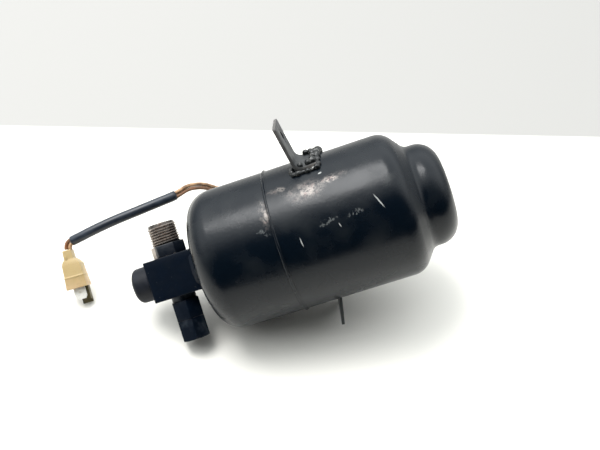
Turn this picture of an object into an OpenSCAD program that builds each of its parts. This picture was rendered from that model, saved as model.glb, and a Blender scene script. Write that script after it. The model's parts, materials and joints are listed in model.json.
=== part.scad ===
// Receiver-drier of a vehicle air conditioner: a welded steel canister with a header block, two
// ports, a sight glass under a cap, two welded L-brackets and a pressure switch on a short lead.
// Lengths are in millimetres and angles in degrees.
//
// Canister frame: +X runs along the axis towards the necked base, +Z towards the inlet port, and the
// origin is the centre of the girth seam. lay() turns that frame into the resting pose on a table.
// Switch frame: +Z points out of the shell along the switch, measured from the canister's axis.
// Plug frame: +Z points back along the wires from the plug's rear face, +X across the plug.

/* [Canister] */
// Outside diameter of the canister
can_d = 76.2; // [76:0.1:76.4]
// Thickness of the drawn steel shells
wall = 1.6; // [1.4:0.1:1.7]
// Distance from the girth seam to the pole of the header end's dome
front_len = 48.8; // [48.6:0.1:49]
// Length of the cylinder from the girth seam to the shoulder
rear_len = 59.3; // [59:0.1:60]
// Distance from the girth seam to the flat base
base_x = 88.3; // [88:0.1:89]
// Outside diameter of the neck
neck_d = 54.4; // [54:0.1:55]
// Radius of the dome's crown
crown_r = 113; // [112:1:114]
// Radius of the dome's knuckle
knuckle_r = 13; // [12.8:0.1:13.2]
// Outer radius of the shoulder's bend
shoulder_r = 10.6; // [10.4:0.1:10.8]
// Radius of the hollow bend at the root of the neck
root_r = 4.8; // [4.6:0.1:5]
// Radius of the base's rounded rim
base_rim_r = 11.2; // [11:0.1:11.4]
// Angle of the shoulder's cone to the axis
cone_angle = 52; // [51:0.5:53]

/* [Brackets] */
// Distance from the girth seam to the bend of each bracket
bracket_x = 18.2; // [18:0.1:19]
// Width of the bracket strip
bracket_w = 28; // [27:0.5:28.5]
// Thickness of the bracket strip
bracket_t = 1.6; // [1.5:0.1:1.7]
// Height of the upper flange above the shell
upper_h = 23.5; // [23:0.1:24]
// Height of the lower flange above the shell
lower_h = 14.4; // [14.2:0.1:14.4]
// Lean of the upper flange towards the header
upper_lean = 9; // [8:0.5:10]
// Lean of the lower flange towards the header
lower_lean = 12; // [11:0.5:13]
// Length of the upper foot along the shell
upper_foot = 10.5; // [10:0.5:12]
// Length of the lower foot along the shell, towards the header
lower_foot = 12; // [11:0.5:13]
// Diameter of the bolt hole in each flange
bolt_hole_d = 6.5; // [6.4:0.1:6.6]
// Angle of the upper bracket round the axis from the inlet
upper_angle = 18; // [17:0.5:19]
// Angle of the lower bracket round the axis from the outlet
lower_angle = 21; // [20:0.5:21]
// Skew of the upper flange in its own plane
upper_skew = 3.7; // [0:0.1:4]

/* [Header] */
// Distance from the girth seam to the header block's end face
block_x = 76.2; // [76:0.1:76.4]
// Size of the header block along the ports
block_h = 22.4; // [22:0.1:22.6]
// Size of the header block across the ports
block_w = 19.5; // [19.4:0.1:19.8]
// Distance from the girth seam to the ports' axis
port_x = 63; // [62.8:0.1:63.2]
// Major diameter of the inlet's 5/8 inch thread
inlet_thread_d = 15.875; // [15.8:0.005:15.9]
// Height of the inlet's tip above the canister's axis
inlet_tip = 29.2; // [29:0.1:29.4]
// Bore of the inlet union
inlet_bore_d = 9.6; // [9.4:0.1:9.8]
// Major diameter of the outlet's 7/16 inch thread
outlet_thread_d = 11.1; // [11:0.05:11.15]
// Distance from the axis to the outlet cap nut's mouth
nut_mouth = 24.5; // [24.4:0.1:24.6]
// Length of the outlet cap nut
nut_len = 11.3; // [11.2:0.1:11.4]
// Width across flats of the outlet cap nut
nut_af = 14.3; // [14.2:0.1:14.5]
// Diameter of the sight glass cap
cap_d = 19.3; // [19.2:0.1:19.4]
// Length of the sight glass cap
cap_len = 9.6; // [9.4:0.1:9.8]

/* [Pressure switch] */
// Distance from the girth seam to the switch's axis
switch_x = -22; // [-22.2:0.1:-21.8]
// Angle of the switch round the canister's axis from the ports
switch_angle = 66; // [65.8:0.1:66.2]
// Distance from the canister's axis to the tip of the boot
boot_tip = 77.4; // [77:0.1:77.5]

/* [Lead] */
// Outside diameter of each wire
wire_d = 2; // [1.9:0.05:2]
// Outside diameter of the black sleeve
sleeve_d = 5; // [5:0.05:5.1]
// Bore of the black sleeve
sleeve_bore = 4.3; // [4.2:0.05:4.4]

/* [Hidden] */

$fn = 96;
small = 32;              // facets of small rounds
fit_gap = 0.05;          // radial clearance of pieces that fit in each other
embed = 0.3;             // depth of a weld in what it joins
can_r = can_d / 2;
in_r = can_r - wall;
neck_r = neck_d / 2;

// Resting pose: the base end is raised, and the ports lean away from the viewer's side.
rest_tilt = -15.74;
rest_roll = -50.5;
rest_at = [-2, -16, 46];

paint = [0.07, 0.08, 0.09];
steel = [0.55, 0.54, 0.52];
dark_rubber = [0.11, 0.11, 0.12];
nylon = [0.80, 0.72, 0.58];
brass = [0.72, 0.56, 0.30];
tan = [0.60, 0.42, 0.28];

module lay() translate(rest_at) rotate([0, rest_tilt, 0]) rotate([rest_roll, 0, 0]) children();
module along_x(x) translate([x, 0, 0]) rotate([0, 90, 0]) children();
module towards_header(x) translate([x, 0, 0]) rotate([0, -90, 0]) children();
module at_inlet(z) translate([-port_x, 0, z]) children();
module at_outlet(z) translate([-port_x, 0, -z]) rotate([180, 0, 0]) children();
module at_switch(z) translate([switch_x, 0, 0]) rotate([-switch_angle, 0, 0])
    translate([0, 0, z]) children();

// Points of an arc about c from angle a0 to a1.
function arc(c, r, a0, a1, n) = [for (i = [0:n]) let (a = a0 + (a1 - a0) * i / n)
    [c[0] + r * cos(a), c[1] + r * sin(a)]];
function swap(pts) = [for (p = pts) [p[1], p[0]]];
function hex_r(af) = af / 2 / cos(30);

module ring(r_out, r_in, h) difference() {
    cylinder(r = r_out, h = h);
    translate([0, 0, -1]) cylinder(r = r_in, h = h + 2);
}
module torus(r, tube_r) rotate_extrude() translate([r, 0]) circle(r = tube_r, $fn = small);

// Outline of the header end in (x, radius), moved inwards by d.
crown_cx = crown_r - front_len;
knuckle_cx = crown_cx - sqrt(pow(crown_r - knuckle_r, 2) - pow(can_r - knuckle_r, 2));
knuckle_end = 180 - asin((can_r - knuckle_r) / (crown_r - knuckle_r));
function dome(d) = concat(
    arc([knuckle_cx, can_r - knuckle_r], knuckle_r - d, 90, knuckle_end, 16),
    arc([crown_cx, 0], crown_r - d, knuckle_end, 180, 10));

// Outline of the shoulder, neck and base in (x, radius), moved inwards by d.
shoulder_c = [rear_len, can_r - shoulder_r];
cone_dir = [cos(cone_angle), -sin(cone_angle)];
cone_start = [shoulder_c[0] + shoulder_r * sin(cone_angle), shoulder_c[1] + shoulder_r * cos(cone_angle)];
root_cy = neck_r + root_r;
cone_run = (cone_start[1] - (root_cy - root_r * cos(cone_angle))) / sin(cone_angle);
root_c = [cone_start[0] + cone_run * cone_dir[0] + root_r * sin(cone_angle), root_cy];
rim_c = [base_x - base_rim_r, neck_r - base_rim_r];
function rear(d) = concat(
    arc(shoulder_c, shoulder_r - d, 90, 90 - cone_angle, 12),
    arc(root_c, root_r + d, 270 - cone_angle, 270, 8),
    arc(rim_c, base_rim_r - d, 90, 0, 12),
    [[base_x - d, 0]]);

// ---- Canister ----

lip_len = 5;             // overlap of the front shell's lip inside the rear shell
lip_r = in_r - fit_gap;
hole_r = 9.62;           // hole for the header's spigot

module front_solid(d) rotate([0, 90, 0]) rotate_extrude()
    polygon(swap(concat([[0, 0], [0, can_r - d]], dome(d))));

module front_shell() color(paint) lay() difference() {
    rotate([0, 90, 0]) rotate_extrude() polygon(swap(concat(
        [[lip_len, lip_r - wall], [lip_len, lip_r], [0, lip_r], [0, can_r]],
        dome(0),
        [for (i = [len(dome(wall)) - 1:-1:0]) dome(wall)[i]],
        [[-5, in_r], [-2, lip_r - wall]])));
    along_x(-front_len - 2) cylinder(r = hole_r, h = 6);
    at_switch(30) cylinder(r = boss_r + 0.02, h = 15);
}

module rear_shell() color(paint) lay() rotate([0, 90, 0]) rotate_extrude() polygon(swap(concat(
    [[0.05, can_r]],
    rear(0),
    [for (i = [len(rear(wall)) - 1:-1:0]) rear(wall)[i]],
    [[0.05, in_r]])));

module girth_weld() color(paint) lay() rotate([0, 90, 0]) rotate_extrude()
    polygon(concat([[can_r - embed, -1.1]],
                   [for (a = [-90:15:90]) [can_r + 0.55 * cos(a), 1.1 * sin(a)]],
                   [[can_r - embed, 1.1]]));

// ---- Brackets: each stands on +Z at the bend, before it is turned round the axis. The upper foot
// runs towards the base, and the lower foot, which is narrower, towards the header ----

corner_r = 1.2;          // rounded corners of the strip
hole_from_end = 8;       // from the flange's end to the bolt hole
foot_gap = 0.02;         // the bracket's clearance on the shell, under its weld
lower_foot_side = 4;     // the narrower foot's near side
weld_drop = 1.6;         // height of the side beads' middles above the shell

// Flange outline: across the strip in X, height above the bend in Y.
module flange_outline(h) difference() {
    union() {
        translate([-bracket_w / 2, -4]) square([bracket_w, h + 4 - corner_r]);
        translate([-bracket_w / 2 + corner_r, -4]) square([bracket_w - 2 * corner_r, h + 4]);
        for (s = [-1, 1]) translate([s * (bracket_w / 2 - corner_r), h - corner_r])
            circle(r = corner_r, $fn = small);
    }
    translate([0, h - hole_from_end]) circle(d = bolt_hole_d, $fn = small);
}

// Flange cut to the shell, and a flat foot from one corner to the other.
module bracket(h, lean, skew, x0, x1, y0, y1) {
    difference() {
        translate([bracket_x, 0, can_r]) rotate([0, -lean, 0]) rotate([90, 0, 90])
            rotate([0, 0, skew]) translate([0, 0, -bracket_t])
                linear_extrude(bracket_t) flange_outline(h);
        along_x(0) cylinder(r = can_r + foot_gap, h = 60);
    }
    translate([bracket_x + x0, y0, can_r + foot_gap]) cube([x1 - x0, y1 - y0, bracket_t]);
}

// Row of beads under one side of a foot, from the bend to a distance along the shell.
module side_beads(y, reach) rotate([-asin(y / (can_r + weld_drop)), 0, 0]) for (i = [0:4])
    translate([bracket_x + reach * (0.1 + 0.22 * i), 0, can_r + weld_drop])
        sphere(r = 1.8 + 0.2 * (i % 2), $fn = small);

// Row of beads across the end of a foot.
module end_beads(x, turns) for (i = turns)
    rotate([i * 5, 0, 0]) translate([bracket_x + x, 0, can_r + 0.5])
        sphere(r = 1.7 + 0.2 * abs(i % 2), $fn = small);

module upper_bracket() color(paint) lay() rotate([upper_angle, 0, 0])
    bracket(upper_h, upper_lean, upper_skew, -bracket_t, upper_foot, -bracket_w / 2, bracket_w / 2);
module lower_bracket() color(paint) lay() rotate([lower_angle + 180, 0, 0])
    bracket(lower_h, lower_lean, 0, -lower_foot, -0.5, -bracket_w / 2, lower_foot_side);
module upper_bracket_weld() color(paint) lay() rotate([upper_angle, 0, 0]) {
    side_beads(-bracket_w / 2, upper_foot);
    side_beads(bracket_w / 2, upper_foot);
    end_beads(upper_foot, [-3:3]);
}
module lower_bracket_weld() color(paint) lay() rotate([lower_angle + 180, 0, 0]) {
    side_beads(-bracket_w / 2, -lower_foot);
    end_beads(-lower_foot, [0:3]);
}

// ---- Header ----

spigot_r = 9.6;
spigot_end = -44;
tube_r = 4;              // pickup tube
tube_bore_r = 3.2;
tube_start = -59.3;
glass_pocket_r = 7;
glass_pocket_depth = 5;
port_pocket_r = 5.6;     // pockets that hold the unions' plain ends
port_pocket_depth = 6;
feed_r = 1.6;            // passage from the inlet into the canister
feed_z = 6.9;

module header_block() color(paint) lay() difference() {
    union() {
        difference() {
            translate([-block_x, -block_w / 2, -block_h / 2]) cube([block_x - 40, block_w, block_h]);
            front_solid(-0.02);
        }
        along_x(-52) cylinder(r = spigot_r, h = 52 + spigot_end);
    }
    along_x(-block_x - 1) cylinder(r = glass_pocket_r, h = glass_pocket_depth + 1);
    along_x(-block_x) cylinder(r = tube_bore_r, h = 20);
    along_x(tube_start - 0.1) cylinder(r = tube_r + 0.02, h = 20);
    along_x(-port_x) translate([-feed_z, 0, 0]) cylinder(r = feed_r, h = 30, $fn = small);
    at_inlet(block_h / 2 - port_pocket_depth) cylinder(r = port_pocket_r, h = 20);
    at_outlet(block_h / 2 - port_pocket_depth) cylinder(r = port_pocket_r, h = 20);
    at_outlet(0) cylinder(r = 3, h = 20);
}

// Fillet of weld round the spigot, where the block meets the dome.
module header_weld() color(paint) lay() difference() {
    along_x(-51.2) cylinder(r1 = 12.2, r2 = 14.4, h = 4);
    translate([-block_x, -block_w / 2 + embed, -block_h / 2 + embed])
        cube([block_x - 40, block_w - 2 * embed, block_h - 2 * embed]);
    front_solid(embed);
}

collar_len = 6.3;        // inlet hex above the block
inlet_hex_af = 16;
inlet_turn = 6;          // turn of the hex about the port, corner first
outlet_turn = 13;

module inlet_union() color(steel) lay() difference() {
    union() {
        at_inlet(block_h / 2 - port_pocket_depth + 0.1) cylinder(r = port_pocket_r - fit_gap, h = 8);
        at_inlet(block_h / 2 + 0.02) rotate([0, 0, inlet_turn])
            cylinder(r = hex_r(inlet_hex_af), h = collar_len, $fn = 6);
        at_inlet(block_h / 2) cylinder(d = inlet_thread_d - 1.8, h = collar_len + 2);
        at_inlet(block_h / 2 + collar_len + 1.2)
            cylinder(d = inlet_thread_d, h = inlet_tip - block_h / 2 - collar_len - 2.2);
        at_inlet(inlet_tip - 1.01)
            cylinder(d1 = inlet_thread_d, d2 = inlet_thread_d - 2, h = 1.01);
    }
    at_inlet(block_h / 2) cylinder(d = inlet_bore_d, h = 30);
    at_inlet(0) cylinder(d = 7, h = 30);
    at_inlet(block_h / 2 - port_pocket_depth + 2.2) rotate_extrude()
        translate([port_pocket_r - 0.9, 0]) square([2, 1.9]);
}

module oring_at_port() translate([0, 0, block_h / 2 - port_pocket_depth + 3.15])
    torus(port_pocket_r - 0.42, 0.4);
module inlet_oring() color(dark_rubber) lay() at_inlet(0) oring_at_port();
module outlet_oring() color(dark_rubber) lay() at_outlet(0) oring_at_port();

union_hex_af = 14.3;
outlet_collar = 3;
stub_len = 9;            // threaded end inside the cap nut

module outlet_union() color(paint) lay() difference() {
    union() {
        at_outlet(block_h / 2 - port_pocket_depth + 0.1) cylinder(r = port_pocket_r - fit_gap, h = 8);
        at_outlet(block_h / 2 + 0.02) cylinder(r = 6.6, h = outlet_collar);
        at_outlet(block_h / 2 + outlet_collar) rotate([0, 0, outlet_turn])
            cylinder(r = hex_r(union_hex_af), h = nut_mouth - block_h / 2 - outlet_collar, $fn = 6);
        at_outlet(nut_mouth - 1) cylinder(d = outlet_thread_d, h = stub_len + 1);
    }
    at_outlet(0) cylinder(r = 3.2, h = 40);
    at_outlet(block_h / 2 - port_pocket_depth + 2.2) rotate_extrude()
        translate([port_pocket_r - 0.9, 0]) square([2, 1.9]);
}

seal_t = 0.8;

module outlet_seal() color([0.70, 0.42, 0.26]) lay() at_outlet(nut_mouth + stub_len + 0.02)
    cylinder(r = 5.2, h = seal_t);

module outlet_cap_nut() color(paint) lay() at_outlet(nut_mouth + 0.06) difference() {
    intersection() {
        rotate([0, 0, outlet_turn]) cylinder(r = hex_r(nut_af), h = nut_len, $fn = 6);
        union() {
            cylinder(r1 = hex_r(nut_af) - 0.5, r2 = hex_r(nut_af) + 0.02, h = 0.6);
            translate([0, 0, 0.6]) cylinder(r = hex_r(nut_af) + 0.02, h = nut_len - 1.6);
            translate([0, 0, nut_len - 1]) cylinder(r1 = hex_r(nut_af) + 0.02, r2 = nut_af / 2 + 0.3, h = 1);
        }
    }
    translate([0, 0, -1]) cylinder(d = outlet_thread_d + 2 * fit_gap, h = stub_len + seal_t + 1);
}

glass_r = 6.8;

module sight_glass() color([0.8, 0.9, 0.88, 0.5]) lay() along_x(-block_x + 1.2)
    cylinder(r = glass_r, h = 3);
module sight_glass_seal() color(dark_rubber) lay() along_x(-block_x + 4.2) ring(6.6, 4.2, 0.8);

retainer_reach = 3;      // height of the retainer above the block's face

module sight_glass_retainer() color(brass) lay() along_x(-block_x - retainer_reach)
    ring(glass_pocket_r - fit_gap, 4.8, retainer_reach + 1.2);

// Cap in its own frame: mouth at the origin, top towards +Z.
module sight_cap() color(dark_rubber) lay() towards_header(-block_x - 0.02) difference() {
    rotate_extrude() polygon(concat(
        [[0, 0], [cap_d / 2, 0]],
        arc([cap_d / 2 - 2.2, cap_len - 2.2], 2.2, 0, 90, 8),
        [[0, cap_len]]));
    translate([0, 0, -1]) cylinder(r = glass_pocket_r, h = retainer_reach + 1.6);
}

// ---- Inside the canister ----

tube_end = 76;
plate_r = 36.2;
plate_t = 1.2;
felt_t = 4;
bed_t = 24;
stack_x = lip_len + 0.05;   // the stack rests on the front shell's lip
bed_hole_r = tube_r + 0.3;

module pickup_tube() color([0.70, 0.70, 0.72]) lay() along_x(tube_start)
    ring(tube_r, tube_bore_r, tube_end - tube_start);

module pickup_screen() color(steel) lay() along_x(tube_end - 6) difference() {
    cylinder(r = 6.5, h = 12);
    translate([0, 0, -1]) cylinder(r = tube_r + 0.03, h = 8);
    translate([0, 0, 6.5]) cylinder(r = 5.5, h = 4.5);
    for (a = [0:45:315]) rotate([0, 0, a]) translate([0, -1, 7]) cube([8, 2, 3.5]);
}

// Perforated disc: rings of holes round the pickup tube.
module perforated_plate() difference() {
    cylinder(r = plate_r, h = plate_t);
    translate([0, 0, -1]) cylinder(r = bed_hole_r, h = plate_t + 2);
    for (k = [1:4], i = [0:8 * k - 1])
        rotate([0, 0, 360 * i / (8 * k)]) translate([4 + 7 * k, 0, -1])
            cylinder(r = 1.6, h = plate_t + 2, $fn = 16);
}
module front_plate() color(steel) lay() along_x(stack_x) perforated_plate();
module front_felt() color([0.85, 0.84, 0.80]) lay() along_x(stack_x + plate_t)
    ring(plate_r, bed_hole_r, felt_t);
module desiccant_bed() color([0.86, 0.80, 0.68]) lay() along_x(stack_x + plate_t + felt_t)
    ring(plate_r, bed_hole_r, bed_t);
module rear_felt() color([0.85, 0.84, 0.80]) lay() along_x(stack_x + plate_t + felt_t + bed_t)
    ring(plate_r, bed_hole_r, felt_t);
rear_plate_x = stack_x + plate_t + 2 * felt_t + bed_t + 0.02;
module rear_plate() color(steel) lay() along_x(rear_plate_x) perforated_plate();

// Points of one turn of a wire's section, and the faces of a tube of such rings.
function tube_faces(rings, sides) = concat(
    [[for (i = [sides - 1:-1:0]) i]],
    [for (k = [0:rings - 2], i = [0:sides - 1]) let (a = k * sides, b = a + sides, j = (i + 1) % sides)
        [a + i, a + j, b + j, b + i]],
    [[for (i = [0:sides - 1]) (rings - 1) * sides + i]]);

// Compression spring along +Z from 0, with its coil radius going from r0 to r1.
module spring(r0, r1, length, turns, wire_r, steps, sides) {
    n = turns * steps;
    pts = [for (k = [0:n], i = [0:sides - 1])
        let (a = 360 * k / steps, b = 360 * i / sides, r = r0 + (r1 - r0) * k / n + wire_r * cos(b))
        [r * cos(a), r * sin(a), wire_r + (length - 2 * wire_r) * k / n + wire_r * sin(b)]];
    polyhedron(pts, tube_faces(n + 1, sides), convexity = 10);
}

module pack_spring() color(steel) lay() along_x(rear_plate_x + plate_t + 0.05)
    spring(33, 30, 28.6, 3, 1.2, 24, 6);

// ---- Pressure switch, in the switch frame ----

boss_r = 9.5;
boss_top = 45;
stem_r = 5.5;
can_top = 63;
switch_r = 9.4;          // outside of the switch's can
cavity_r = 8.6;

module switch_boss() color(paint) lay() at_switch(35) difference() {
    cylinder(r = boss_r, h = boss_top - 35);
    translate([0, 0, -1]) cylinder(r = stem_r + fit_gap, h = 20);
    translate([0, 0, boss_top - 36.8]) cylinder(r = 7.3, h = 5);
}
module switch_boss_weld() color(paint) lay() difference() {
    at_switch(35.4) difference() {
        cylinder(r1 = 12.4, r2 = boss_r, h = 4.8);
        translate([0, 0, -1]) cylinder(r = boss_r - embed, h = 10);
    }
    along_x(-40) cylinder(r = can_r - embed, h = 40);
}
module switch_oring() color(dark_rubber) lay() at_switch(boss_top - 0.9) torus(6.4, 0.8);

module switch_body() color(steel) lay() difference() {
    union() {
        at_switch(38) cylinder(r = stem_r, h = 8);
        at_switch(boss_top + 0.02) cylinder(r = hex_r(19), h = 4.5, $fn = 6);
        at_switch(49) cylinder(r = switch_r, h = can_top - 49);
    }
    at_switch(37) cylinder(r = 1.5, h = 20, $fn = small);
    at_switch(52) cylinder(r = cavity_r, h = 20);
    at_switch(51.3) cylinder(r = 6, h = 2);
}
module switch_diaphragm() color(steel) lay() at_switch(52.02) cylinder(r = cavity_r - fit_gap, h = 0.4);
module switch_guide() color([0.35, 0.20, 0.12]) lay() at_switch(52.5) difference() {
    cylinder(r = cavity_r - fit_gap, h = 2.5);
    translate([0, 0, -1]) cylinder(r = 6.5, h = 2);
    translate([0, 0, -1]) cylinder(r = 1.26, h = 5, $fn = small);
}
switch_travel = 0.5;
module switch_plunger() color([0.9, 0.88, 0.8]) lay() at_switch(52.45) {
    cylinder(r = 1.2, h = 5.5, $fn = small);
    translate([0, 0, 4]) cylinder(r = 2.2, h = 0.8, $fn = small);
}
module switch_contact() color(brass) lay() at_switch(57.3) difference() {
    translate([-5.5, -1.5, 0]) cube([11, 3, 0.5]);
    translate([0, 0, -1]) cylinder(r = 1.22, h = 3, $fn = small);
}
module switch_spring() color(steel) lay() at_switch(57.85) spring(1.75, 1.75, 2.1, 3, 0.22, 12, 6);
module switch_terminals() color(brass) lay() for (s = [-1, 1]) at_switch(0) {
    translate([s * 4.5 - 0.6, -1.2, 57.8 + switch_travel + 0.02]) cube([1.2, 2.4, 10]);
}
module switch_base() color([0.16, 0.13, 0.11]) lay() at_switch(60) difference() {
    union() {
        cylinder(r = cavity_r - fit_gap, h = 3);
        cylinder(r = 7.4, h = 6);
    }
    for (s = [-1, 1]) translate([s * 4.5 - 0.65, -1.25, -1]) cube([1.3, 2.5, 10]);
}

// Rubber boot, with a strain relief that leads the wires round the canister.
boot_r = 10.3;
relief_at = 70;
relief_turn = 32;        // the strain relief's turn from across the canister towards the header
module switch_boot() color(dark_rubber) lay() difference() {
    union() {
        at_switch(0) rotate_extrude() polygon(concat(
            [[0, 60.5], [boot_r, 60.5], [boot_r, 64]],
            arc([6.2, boot_tip - 2], 2, 0, 90, 6),
            [[0, boot_tip]]));
        at_switch(relief_at) rotate([90, 0, 0]) rotate([0, -relief_turn, 0])
            cylinder(r1 = 4.2, r2 = 2.6, h = 13);
    }
    at_switch(60) cylinder(r = switch_r + 0.02, h = can_top - 60 + 0.02);
    at_switch(60) cylinder(r = 7.5, h = 9);
}

// ---- Lead: two wires from the boot through the sleeve to the plug, in the resting frame ----

lead_route = [[-24, 51.6, 17.6], [-27, 51.6, 18.4], [-30.5, 50.8, 19.6], [-34.3, 49.6, 22.6],
              [-38, 48.5, 26.8], [-42, 47, 31.4], [-46.5, 44, 34.6], [-52, 40, 36.4],
              [-59, 35, 37.1], [-68, 31.8, 36.8], [-77, 29.2, 36], [-85, 27, 35.2],
              [-93, 25, 34.2], [-101, 23, 32.8], [-109, 21, 31], [-114, 19.9, 29.5],
              [-119.5, 19.4, 27.3], [-120.8, 19.1, 26.6], [-121.8, 18.4, 25.8],
              [-122.3, 17.4, 24.8], [-122.4, 16.3, 23.9]];
sleeve_first = 8;        // route points between which the sleeve covers the wires
sleeve_last = 16;
plug_at = [-121.8, 16.3, 23.85];
plug_turn = [-51, -10, 2];
over_each_other = [0.14, 0.75, 0.64];   // direction between the wires at the switch
side_by_side = [0.98, 0.03, 0.17];      // direction between the wires at the plug

function unit(v) = v / norm(v);
function mix(a, b, t) = a * (1 - t) + b * t;
function smooth(t) = t * t * (3 - 2 * t);
function along(path, i) = unit(path[min(i + 1, len(path) - 1)] - path[max(i - 1, 0)]);
function across(dir, want) = unit(want - dir * (want * dir));

// Direction from wire to wire at a point of the route: it turns inside the sleeve.
function pair_dir(i) = across(along(lead_route, i), mix(over_each_other, side_by_side,
    smooth(max(0, min(1, (i - sleeve_first) / (sleeve_last - sleeve_first))))));
function wire_path(side) = [for (i = [0:len(lead_route) - 1])
    lead_route[i] + pair_dir(i) * side * (wire_d / 2 + 0.02)];

// Tube of the given radius along a path, as one polyhedron.
module tube(path, r, sides) polyhedron(
    [for (k = [0:len(path) - 1], i = [0:sides - 1])
        let (t = along(path, k), e = across(t, [0.3, 0.5, 0.8]), f = cross(e, t), b = 360 * i / sides)
        path[k] + r * (cos(b) * e + sin(b) * f)],
    tube_faces(len(path), sides), convexity = 10);

sleeve_path = [for (i = [sleeve_first:sleeve_last]) lead_route[i]];
sleeve_ends = [sleeve_path[0] - along(sleeve_path, 0),
               sleeve_path[len(sleeve_path) - 1] + along(sleeve_path, len(sleeve_path) - 1)];

module wire_a() color(tan) tube(wire_path(1), wire_d / 2, 8);
module wire_b() color([0.40, 0.25, 0.16]) tube(wire_path(-1), wire_d / 2, 8);
module lead_sleeve() color([0.05, 0.06, 0.08]) difference() {
    tube(sleeve_path, sleeve_d / 2, 12);
    tube(concat([sleeve_ends[0]], sleeve_path, [sleeve_ends[1]]), sleeve_bore / 2, 12);
}

module at_plug() translate(plug_at) rotate(plug_turn) children();

blade_w = 6.3;
blade_t = 0.8;
blade_y = -1.9;          // front face of the flat blade
blade_tip = -29;
rear_blade_x = -1.4;     // middle of the rear blade
rear_blade_y = 1.4;
rear_blade_tip = -27.5;
mouth_z = -22.3;         // front edge of the plug's body

// Block of the plug between two sides, two faces and two depths.
module plug_block(x0, x1, y0, y1, z0, z1) translate([x0, y0, z1]) cube([x1 - x0, y1 - y0, z0 - z1]);

module plug_housing() color(nylon) at_plug() difference() {
    union() {
        plug_block(-3.6, 2.6, -3.2, 3.2, 0, -9);
        plug_block(-5.6, 4.6, -3.8, 3.8, -8.5, mouth_z);
        plug_block(-6.5, 5.5, -4.6, 4.4, -12.5, mouth_z);
        plug_block(-1.7, 4.9, 3, 4.4, mouth_z + 1, -32);
        plug_block(3.7, 4.9, 0.4, 4.4, mouth_z + 1, -30);
    }
    plug_block(-blade_w / 2 - 0.6, blade_w / 2 + 0.6, -3.2, -0.3, -19, -40);
    plug_block(rear_blade_x - blade_w / 2 - 0.4, 3.4, 0.5, 2.9, -19, -40);
    plug_block(-blade_w / 2 - 0.05, blade_w / 2 + 0.05, blade_y - 0.05, blade_y + blade_t + 0.05, -6, -40);
    plug_block(rear_blade_x - blade_w / 2 - 0.05, rear_blade_x + blade_w / 2 + 0.05,
               rear_blade_y - 0.05, rear_blade_y + blade_t + 0.05, -6, -40);
}

// Blade terminal with a round detent hole, its tip towards -Z.
module blade(x, y, tip) translate([x, y, 0]) difference() {
    union() {
        translate([-blade_w / 2, 0, tip + 0.8]) cube([blade_w, blade_t, -tip - 7]);
        translate([-blade_w / 2 + 0.8, 0, tip]) cube([blade_w - 1.6, blade_t, 2]);
    }
    translate([0, 2, tip + 4]) rotate([90, 0, 0]) cylinder(r = 0.6, h = 4, $fn = small);
}
module blade_front() color([0.85, 0.84, 0.80]) at_plug() blade(0, blade_y, blade_tip);
module blade_rear() color([0.85, 0.84, 0.80]) at_plug() blade(rear_blade_x, rear_blade_y, rear_blade_tip);

front_shell();
rear_shell();
girth_weld();
upper_bracket();
lower_bracket();
upper_bracket_weld();
lower_bracket_weld();
header_block();
header_weld();
inlet_union();
inlet_oring();
outlet_union();
outlet_oring();
outlet_seal();
outlet_cap_nut();
sight_glass();
sight_glass_seal();
sight_glass_retainer();
sight_cap();
pickup_tube();
pickup_screen();
front_plate();
front_felt();
desiccant_bed();
rear_felt();
rear_plate();
pack_spring();
switch_boss();
switch_boss_weld();
switch_body();
switch_oring();
switch_diaphragm();
switch_guide();
switch_plunger();
switch_contact();
switch_spring();
switch_terminals();
switch_base();
switch_boot();
wire_a();
wire_b();
lead_sleeve();
plug_housing();
blade_front();
blade_rear();
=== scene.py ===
"""Looks of a receiver-drier: a black enamelled canister with its header, brackets, pressure switch and lead.

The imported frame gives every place. Pieces are modelled in millimetres in the canister's frame: +X runs
along the axis towards the necked base, +Z towards the inlet, and the origin is the girth seam's centre.
"""

import json
import math

import bmesh
import bpy
from bpy.props import FloatProperty, FloatVectorProperty, PointerProperty
from mathutils import Matrix, Vector, noise


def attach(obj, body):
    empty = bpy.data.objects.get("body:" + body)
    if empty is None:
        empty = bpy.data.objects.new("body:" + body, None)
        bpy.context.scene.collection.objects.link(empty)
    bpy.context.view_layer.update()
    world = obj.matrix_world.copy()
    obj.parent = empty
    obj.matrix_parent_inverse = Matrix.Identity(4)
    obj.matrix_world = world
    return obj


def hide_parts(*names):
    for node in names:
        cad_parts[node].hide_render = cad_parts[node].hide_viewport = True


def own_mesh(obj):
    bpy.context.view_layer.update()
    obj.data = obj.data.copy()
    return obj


bl_info = {
    "name": "Receiver-drier looks",
    "version": (1, 0, 0),
    "blender": (4, 5, 0),
    "location": "View3D > Sidebar > Drier",
    "description": "Builds the visible pieces of a receiver-drier round its packed frame",
    "category": "Add Mesh",
}

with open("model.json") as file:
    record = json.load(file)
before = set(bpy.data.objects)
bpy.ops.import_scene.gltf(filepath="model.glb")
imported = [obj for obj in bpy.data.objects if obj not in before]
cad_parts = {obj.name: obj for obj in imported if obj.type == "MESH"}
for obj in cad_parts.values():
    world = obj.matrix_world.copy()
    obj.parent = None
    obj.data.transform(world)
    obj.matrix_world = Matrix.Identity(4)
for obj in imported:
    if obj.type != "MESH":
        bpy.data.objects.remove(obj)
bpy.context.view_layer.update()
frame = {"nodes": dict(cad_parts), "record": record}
MOUNTS = {mount["name"]: mount for mount in frame["record"]["mounts"]}

MM = 0.001
BODY = "drier"

# ---- Driving sizes of the object, in millimetres and degrees ----

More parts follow.
